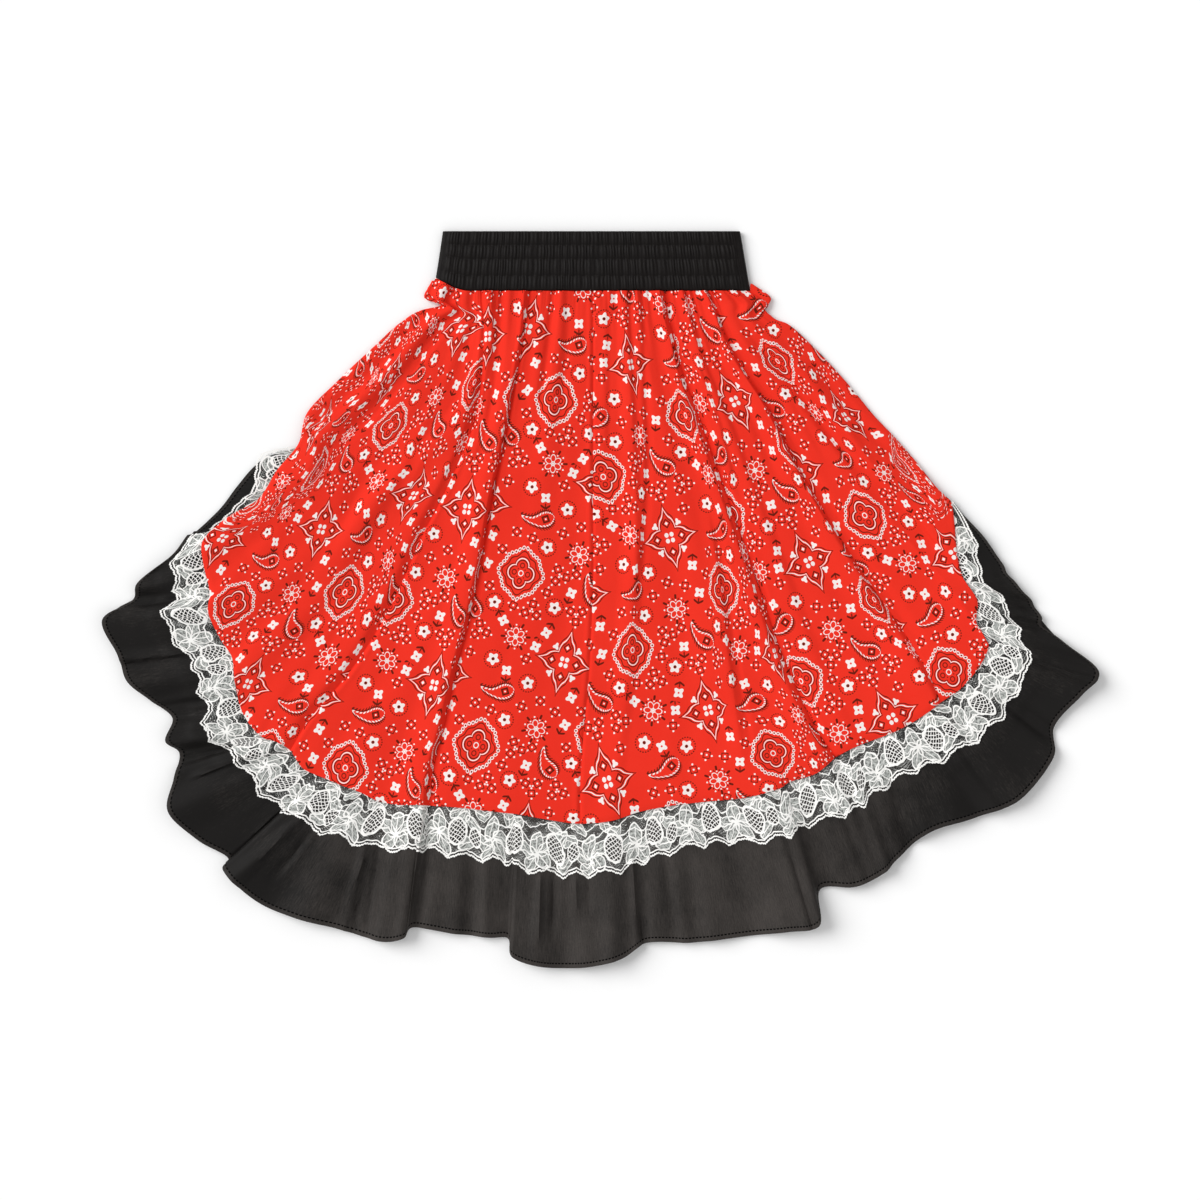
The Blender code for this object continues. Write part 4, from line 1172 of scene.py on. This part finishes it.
def make_back_ruffle(side, start, end, material):
    places = strip_places(start, end, 5)
    rows = station(places)
    hem = back_plan(rows[:, :2])
    out = back_plan(rows[:, 2:4], BACK_RUFFLE_INSET)
    length = np.maximum(np.hypot(*(out - hem).T), 1.0)
    inner = back_plan(body_plan(places, np.array([1.0 - HEM_OVERLAP / GORE_LENGTH]))[0])
    steps = np.linspace(0.0, 1.0, 24)[:, None]
    distance = steps * length[None]
    room, settled = past_lace(rows[:, 4], length, distance)
    base = BACK_RUFFLE_TOP - WALL - UPPER_BASE * settled
    wave = 0.5 + 0.5 * np.sin(hem_length(places) / 9.0 + 2.0 * np.sin(hem_length(places) / 31.0))
    lift = 0.5 * wave[None] * smooth(0.1, 0.6, steps) * room[None]
    plan = mix(hem[None], out[None], steps[..., None])
    bottom = np.concatenate((raised(inner, base[0])[None], raised(plan, base + lift)))
    top = bottom + (0, 0, CLOTH_THICK)
    along = along_edge(bottom[len(bottom) // 2])
    from_edge = np.concatenate(((length + HEM_OVERLAP)[None], length[None] - distance))
    coordinates = strip_map(along, from_edge)
    layout = strip_layout(len(top), len(places), along[-1], RUFFLE_DEPTH, top_main=False, cuts=2)
    return shell(f"back_ruffle_{side}", top, bottom, coordinates, layout, material)


def lace_edge(places, lace, length):
    """The lace that shows past the hem, with scallops of two sizes."""
    along = hem_length(places)
    warp = along + 2.0 * np.sin(along / 11.0)
    scallop = 7.5 * (1.0 - np.abs(np.sin(math.pi * warp / 27.0))) ** 0.9 - 2.6
    scallop += 1.8 * np.abs(np.sin(math.pi * along / 6.75)) ** 0.7 - 0.9
    wide = lace + scallop * smooth(8.0, 30.0, lace)
    return np.clip(wide, 1.5, 0.92 * length)


def make_front_lace(side, start, end, material):
    places = strip_places(start, end, 13)
    rows = station(places)
    length = np.hypot(*(rows[:, 2:4] - rows[:, :2]).T)
    wide = lace_edge(places, rows[:, 4], length)
    shares = np.linspace(0.0, 1.0, 22)
    # The lace lies on the ruffle: its points are the ruffle's own, moved out
    fine_steps = np.linspace(0.0, 1.0, 61)
    under = ruffle_surface(places, fine_steps)[0]
    grid = np.empty((len(shares) + 1, len(places), 3))
    grid[0] = under[0]
    for column in range(len(places)):
        at = shares * wide[column] / length[column]
        for axis in range(3):
            grid[1:, column, axis] = np.interp(at, fine_steps, under[1:, column, axis])
    along = hem_length(places)
    ripple = 0.5 + 0.5 * np.sin(2.0 * math.pi * along / 16.0 + 2.2 * np.sin(along / 27.0))
    lift = 0.7 * ripple[None] * smooth(0.3, 1.0, shares)[:, None]
    normals = grid_normals(grid)
    bottom = grid + normals * LAYER_GAP
    bottom[1:, :, 2] += lift
    top = bottom + normals * LACE_THICK
    middle = along_edge(grid[len(shares) // 2 + 1])
    from_edge = np.concatenate(((wide + HEM_OVERLAP)[None], wide[None] * (1.0 - shares[:, None])))
    coordinates = strip_map(middle, from_edge)
    layout = strip_layout(len(top), len(places), middle[-1], LACE_DEPTH + HEM_OVERLAP)
    return shell(f"front_lace_{side}", top, bottom, coordinates, layout, material)


def make_back_lace(side, start, end, material):
    places = strip_places(start, end, 9)
    rows = station(places)
    hem = back_plan(rows[:, :2])
    out = back_plan(rows[:, 2:4], BACK_RUFFLE_INSET)
    length = np.maximum(np.hypot(*(out - hem).T), 1.0)
    wide = lace_edge(places, rows[:, 4], np.maximum(length, 3.0))
    shares = np.linspace(0.0, 1.0, 12)
    share = 0.4 / length[None] + shares[:, None] * (wide / length)[None]
    plan = mix(hem[None], out[None], share[..., None])
    wave = 0.4 * (0.5 + 0.5 * np.sin(hem_length(places) / 3.3))
    bottom = raised(plan, 0.35 + wave[None] * shares[:, None])
    top = bottom + (0, 0, LACE_THICK)
    middle = along_edge(bottom[len(shares) // 2])
    coordinates = strip_map(middle, wide[None] * (1.0 - shares[:, None]))
    layout = strip_layout(len(top), len(places), middle[-1], LACE_DEPTH, top_main=False)
    return shell(f"back_lace_{side}", top, bottom, coordinates, layout, material)


def make_turned(kind, material):
    """The ruffle and the lace of the hem turned forward at the left side."""
    at = np.linspace(0.0, len(TURNS) - 1.0, 90)
    rows = curve(range(len(TURNS)), TURNS, at)
    inner, lace, out = rows[:, :2], rows[:, 2:4], rows[:, 4:6]
    along = along_edge(lace)
    if kind == "lace":
        toward = lace - inner
        reach = np.linalg.norm(toward, axis=1, keepdims=True)
        scallop = 1.6 * np.abs(np.sin(math.pi * along / 13.0)) - 1.0
        far = lace + toward / reach * (scallop * smooth(4.0, 14.0, reach[:, 0]))[:, None]
        base, thick = TURN_LACE_BASE, 0.5
    else:
        far, base, thick = out, UPPER_BASE, CLOTH_THICK
    shares = np.linspace(0.0, 1.0, 20)[:, None, None]
    plan = mix(inner[None], far[None], shares)
    reach = np.linalg.norm(far - inner, axis=1)
    ripple = 0.5 + 0.5 * np.sin(along / 2.9 + 1.3 * np.sin(along / 9.0))
    lift = 0.45 * ripple[None] * smooth(0.2, 0.9, shares[..., 0])
    bottom = raised(plan, base + lift)
    top = bottom + (0, 0, thick)
    coordinates = strip_map(along, reach[None] * (1.0 - shares[..., 0]))
    return shell(f"turned_{kind}", top, bottom, coordinates, planar_layout(top), material)


BAND_ROWS = (0.0, 0.24, 0.475, 0.76, 1.0)  # rows of stitching, from the top edge down


def band_channel(y_share):
    """Which channel a height of the band is in, and how far down that channel."""
    row = min(int(np.searchsorted(BAND_ROWS, y_share, side="right")) - 1, BAND_CHANNELS - 1)
    return row, (y_share - BAND_ROWS[row]) / (BAND_ROWS[row + 1] - BAND_ROWS[row])


def band_shape(x_share, y_share, rise):
    """Height of the shirred band's front above its plain tube."""
    row, channel = band_channel(y_share)
    swell = math.sin(math.pi * min(max(channel, 0.0), 1.0)) ** 0.55
    phase = x_share * 92.0 + 0.55 * np.sin(x_share * 31.0) + 0.22 * np.sin(x_share * 87.0 + 2.0)
    phase = phase + 0.16 * np.sin(x_share * 61.0 + 2.3 * row) * math.sin(math.pi * channel)
    gather = 0.5 - 0.5 * np.cos(2.0 * math.pi * phase)
    minor = 0.5 - 0.5 * np.cos(2.0 * math.pi * phase * 0.37 + 2.0 * row)
    depth = 0.7 + 0.3 * np.sin(x_share * 53.0 + 1.7 * row)
    return rise * (0.8 * swell + (0.5 * gather * depth + 0.45 * minor) * (0.45 + 0.55 * swell))


def make_band(material):
    """The shirred waistband: a flattened tube, closed round a plain inner wall."""
    rows, front, turns, back = 73, 760, 14, 130
    radius = BAND_HEIGHT / 2.0
    y_shares = np.linspace(0.0, 1.0, rows)
    x_share = np.linspace(0.0, 1.0, front)
    side = smooth(0.0, 0.03, np.minimum(x_share, 1.0 - x_share))
    angle = math.pi / 2.0 - math.pi * np.arange(1, turns) / turns
    back_x = np.linspace(1.0, 0.0, back)
    puckers = 0.35 * (0.5 - 0.5 * np.cos(2.0 * math.pi * back_x * 43.0))
    rings = []
    for share in y_shares:
        left, right = (mix(BAND_TOP_X[i], BAND_BOTTOM_X[i], share) for i in (0, 1))
        left, right = left + radius, right - radius
        up = band_shape(x_share, min(share, 0.9999), BAND_PUCKER) * side
        channel = band_channel(share)[1]
        crimp = 0.35 * np.sin(angle * 7.0) ** 2 * math.sin(math.pi * channel)
        dents = puckers + 0.5 * (1.0 - abs(math.sin(math.pi * channel)) ** 0.5)
        x = np.concatenate((
            mix(left, right, x_share), right + (radius - crimp) * np.cos(angle),
            mix(left, right, back_x), left - (radius - crimp) * np.cos(angle)))
        z = np.concatenate((
            BAND_HEIGHT + up, radius + radius * np.sin(angle), np.minimum(dents, 1.0),
            radius - radius * np.sin(angle)))
        rings.append(np.stack((x, mix(BAND_TOP, band_edge(x), share), z), axis=1))
    outer = np.array(rings)
    inner = outer.copy()
    inner[..., 2] = radius + (inner[..., 2] - radius) * 0.2
    inner[..., 2] = np.clip(inner[..., 2], 2.2, BAND_HEIGHT - 2.2)
    mid_x = outer[..., 0].mean()
    inner[..., 0] = mid_x + (inner[..., 0] - mid_x) * 0.985
    # Both ends are closed by carrying the loops round from the outside to the inside
    loops = np.concatenate((outer, inner[-1:], inner[rows // 2 : rows // 2 + 1], inner[:1]))
    total, count = loops.shape[:2]
    i, j = np.indices((total, count))
    below, after = (i + 1) % total, (j + 1) % count
    faces = np.stack((
        i * count + j, below * count + j, below * count + after, i * count + after), axis=2)
    # Cloth map: mm round and down; bake map: the front above, the rest below it
    share_round = np.linspace(0.0, 1.0, count + 1)
    share_down = np.concatenate((y_shares * 0.92, (0.94, 0.97, 1.0, 1.0)))
    mm_down = np.concatenate((y_shares * (BAND_TOP - BAND_BOTTOM), (60.0, 90.0, 119.0, 120.0)))
    corner_round = np.stack((j, j, j + 1, j + 1), axis=2).reshape(-1, 4)
    corner_down = np.stack((i, i + 1, i + 1, i), axis=2).reshape(-1, 4)
    split = front / count
    u, v = share_round[corner_round], share_down[corner_down]
    is_front = corner_round.min(axis=1)[:, None, None] < front - 1
    in_front = np.stack((0.01 + 0.98 * u / split, 0.02 + 0.45 * v), axis=2)
    behind = np.stack((0.01 + 0.98 * (u - split) / (1 - split), 0.52 + 0.45 * v), axis=2)
    bake = np.where(is_front, in_front, np.clip(behind, 0.0, 1.0))
    cloth = np.stack((u * BAND_ROUND, mm_down[corner_down]), axis=2) * MM
    points = loops.reshape(-1, 3) * MM
    return new_piece(
        "shirred_waistband", points, faces.reshape(-1, 4), cloth, bake, material, 70)


# Settings --------------------------------------------------------------------------------------

def color(name, description, default):
    return bpy.props.FloatVectorProperty(
        name=name, description=description, default=default, size=3, min=0.0, max=1.0,
        subtype="COLOR")


class PrintSettings(bpy.types.PropertyGroup):
    red: color("Ground", "Colour of the printed cotton", (0.83, 0.025, 0.010))
    white: color("White", "Colour of the print's white parts", (0.90, 0.85, 0.82))
    dark: color("Dark", "Colour of the print's thin lines", (0.072, 0.009, 0.003))
    print_scale: bpy.props.FloatProperty(
        name="Print scale", description="Size of the print's repeat against the real one",
        default=1.0, min=0.5, max=2.0)


class RuffleSettings(bpy.types.PropertyGroup):
    # The tone between these two also carries the painted shade towards the skirt's sides; the
    # lighter one, raised, is the painted highlight on the hem
    black: color("Black", "Colour of the ruffle in its darker threads", (0.006, 0.005, 0.0045))
    black_light: color("Light black", "Colour in its lighter threads", (0.050, 0.043, 0.039))
    hem_width: bpy.props.FloatProperty(
        name="Hem width", description="Distance of the stitching from the edge, in mm",
        default=4.6, min=2.0, max=12.0)
    stitch_length: bpy.props.FloatProperty(
        name="Stitch length", description="Length of one stitch and its gap, in mm",
        default=3.2, min=1.5, max=6.0)


class LaceSettings(bpy.types.PropertyGroup):
    white: color("Thread", "Colour of the lace's cords and net", (0.95, 0.94, 0.91))
    petal: color("Petal", "Colour of the lace's thin petals", (0.62, 0.64, 0.61))


class BandSettings(bpy.types.PropertyGroup):
    # Two tones of the satin: darker where shade is painted into its creases, lighter between them
    black: color("Black", "Colour of the satin in its creases", (0.002, 0.0014, 0.0012))
    black_light: color(
        "Light black", "Colour of the satin between creases", (0.008, 0.0055, 0.0048))


class StageSettings(bpy.types.PropertyGroup):
    height: bpy.props.FloatProperty(
        name="Camera height", description="Height of the camera above the skirt",
        default=3.0, min=1.0, max=10.0, unit="LENGTH")
    view_width: bpy.props.FloatProperty(
        name="View width", description="Width of the floor that the camera sees",
        default=1.2, min=0.8, max=4.0, unit="LENGTH")


# Operators -------------------------------------------------------------------------------------

# On each gore, where one of the print's stars lies (x, y) and the tilt of the print in degrees
FRONT_CUTS = (
    ((-278, 70), 11.0), ((-166, -86), 13.5), ((-36, -64), 14.3),
    ((70, 62), -13.5), ((209, 38), -26.0), ((245, 181), -28.0),
)


class SKIRT_OT_front_gores(bpy.types.Operator):
    """Make the six printed gores of the front"""

    bl_idname = "skirt.front_gores"
    bl_label = "Front gores"

    def execute(self, context):
        material = print_material(context.scene.skirt_print)
        for gore, (star, grain) in enumerate(FRONT_CUTS):
            item = make_front_gore(gore, star, grain, material)
            dress(item, [f"gore_front_{gore + 1}"])
        return {"FINISHED"}


class SKIRT_OT_back_gores(bpy.types.Operator):
    """Make the six printed gores of the back"""

    bl_idname = "skirt.back_gores"
    bl_label = "Back gores"

    def execute(self, context):
        material = bpy.data.materials["print_cotton_dressed"]
        for gore, ((x, y), grain) in enumerate(reversed(FRONT_CUTS)):
            item = make_back_gore(gore, (-x + 24, y - 60), -grain, material)
            dress(item, [f"gore_back_{gore + 1}"])
        return {"FINISHED"}


class SKIRT_OT_ruffles(bpy.types.Operator):
    """Make the gathered ruffle, front and back"""

    bl_idname = "skirt.ruffles"
    bl_label = "Ruffles"

    def execute(self, context):
        material = ruffle_material(context.scene.skirt_ruffle)
        for side, start, end in (("left", 0, RUFFLE_JOIN), ("right", RUFFLE_JOIN, LAST_STATION)):
            item = make_back_ruffle(side, start, end, material)
            dress(item, [f"ruffle_back_{side}"])
            item = make_front_ruffle(side, start, end, material)
            dress(item, [f"ruffle_front_{side}"])
        item = make_turned("ruffle", material)
        dress(item, ["ruffle_turned"])
        return {"FINISHED"}


class SKIRT_OT_lace(bpy.types.Operator):
    """Make the lace edging that lies on the ruffle"""

    bl_idname = "skirt.lace"
    bl_label = "Lace"

    def execute(self, context):
        material = lace_material(context.scene.skirt_lace)
        for side, start, end in (("left", 0, LACE_JOIN), ("right", LACE_JOIN, LAST_STATION)):
            item = make_back_lace(side, start, end, material)
            dress(item, [f"lace_back_{side}"])
            item = make_front_lace(side, start, end, material)
            dress(item, [f"lace_front_{side}"])
        item = make_turned("lace", material)
        dress(item, ["lace_turned"])
        return {"FINISHED"}


class SKIRT_OT_waistband(bpy.types.Operator):
    """Make the shirred elastic waistband"""

    bl_idname = "skirt.waistband"
    bl_label = "Waistband"

    def execute(self, context):
        item = make_band(band_material(context.scene.skirt_band))
        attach(item, "root")
        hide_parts("waistband")
        return {"FINISHED"}


FLOOR_SIZE = 8.0
FLOOR_DROP = 0.0005  # keeps the floor just clear of the back
SKY_STRENGTH = 0.52
SENSOR_WIDTH = 36.0
# Name, place, angle in degrees and strength
LIGHTS = (
    ("key", (-2.0, 0.9, 1.6), 44.0, 2.5),
    ("fill", (1.6, -1.2, 1.9), 60.0, 0.25),
)


class SKIRT_OT_stage(bpy.types.Operator):
    """Add the floor, the lights and the camera straight above the skirt"""

    bl_idname = "skirt.stage"
    bl_label = "Stage"

    def execute(self, context):
        settings = context.scene.skirt_stage
        bpy.ops.object.select_all(action="DESELECT")
        bpy.ops.mesh.primitive_plane_add(size=FLOOR_SIZE, location=(0, 0, -FLOOR_DROP))
        floor = context.object
        floor.name = "floor"
        n = Nodes("floor_paper")
        n.shader.inputs["Base Color"].default_value = (0.98, 0.98, 0.98, 1.0)
        n.shader.inputs["Roughness"].default_value = 0.9
        floor.data.materials.append(n.material)
        for name, place, softness, strength in LIGHTS:
            data = bpy.data.lights.new(name, "SUN")
            data.angle = math.radians(softness)
            data.energy = strength
            light = bpy.data.objects.new(name, data)
            context.scene.collection.objects.link(light)
            light.location = place
            light.rotation_euler = (-light.location).to_track_quat("-Z", "Y").to_euler()
        world = bpy.data.worlds.new("studio")
        world.use_nodes = True
        sky = world.node_tree.nodes["Background"]
        sky.inputs["Color"].default_value = (1.0, 1.0, 1.0, 1.0)
        sky.inputs["Strength"].default_value = SKY_STRENGTH
        context.scene.world = world
        context.scene.view_settings.view_transform = "Standard"
        camera = bpy.data.objects.new("camera", bpy.data.cameras.new("camera"))
        context.scene.collection.objects.link(camera)
        camera.location = (0.0, -0.001, settings.height)
        camera.data.sensor_width = SENSOR_WIDTH
        camera.data.lens = SENSOR_WIDTH * settings.height / settings.view_width
        context.scene.camera = camera
        return {"FINISHED"}


STEPS = (
    SKIRT_OT_stage, SKIRT_OT_waistband, SKIRT_OT_front_gores, SKIRT_OT_back_gores,
    SKIRT_OT_ruffles, SKIRT_OT_lace,
)


class SKIRT_PT_panel(bpy.types.Panel):
    """Lists the skirt's steps and settings"""

    bl_label = "Skirt"
    bl_idname = "SKIRT_PT_panel"
    bl_space_type = "VIEW_3D"
    bl_region_type = "UI"
    bl_category = "Skirt"

    def draw(self, context):
        for step in STEPS:
            self.layout.operator(step.bl_idname)
        for group in GROUPS:
            settings = getattr(context.scene, group)
            for name in settings.__annotations__:
                self.layout.prop(settings, name)


GROUPS = {
    "skirt_print": PrintSettings,
    "skirt_ruffle": RuffleSettings,
    "skirt_lace": LaceSettings,
    "skirt_band": BandSettings,
    "skirt_stage": StageSettings,
}


def register():
    for group, kind in GROUPS.items():
        bpy.utils.register_class(kind)
        setattr(bpy.types.Scene, group, bpy.props.PointerProperty(type=kind))
    for kind in (*STEPS, SKIRT_PT_panel):
        bpy.utils.register_class(kind)


def unregister():
    for kind in (SKIRT_PT_panel, *reversed(STEPS)):
        bpy.utils.unregister_class(kind)
    for group, kind in GROUPS.items():
        delattr(bpy.types.Scene, group)
        bpy.utils.unregister_class(kind)


def main():
    register()
    bpy.ops.skirt.stage()
    bpy.ops.skirt.waistband()
    bpy.ops.skirt.front_gores()
    bpy.ops.skirt.back_gores()
    bpy.ops.skirt.ruffles()
    bpy.ops.skirt.lace()


if __name__ == "__main__":
    main()
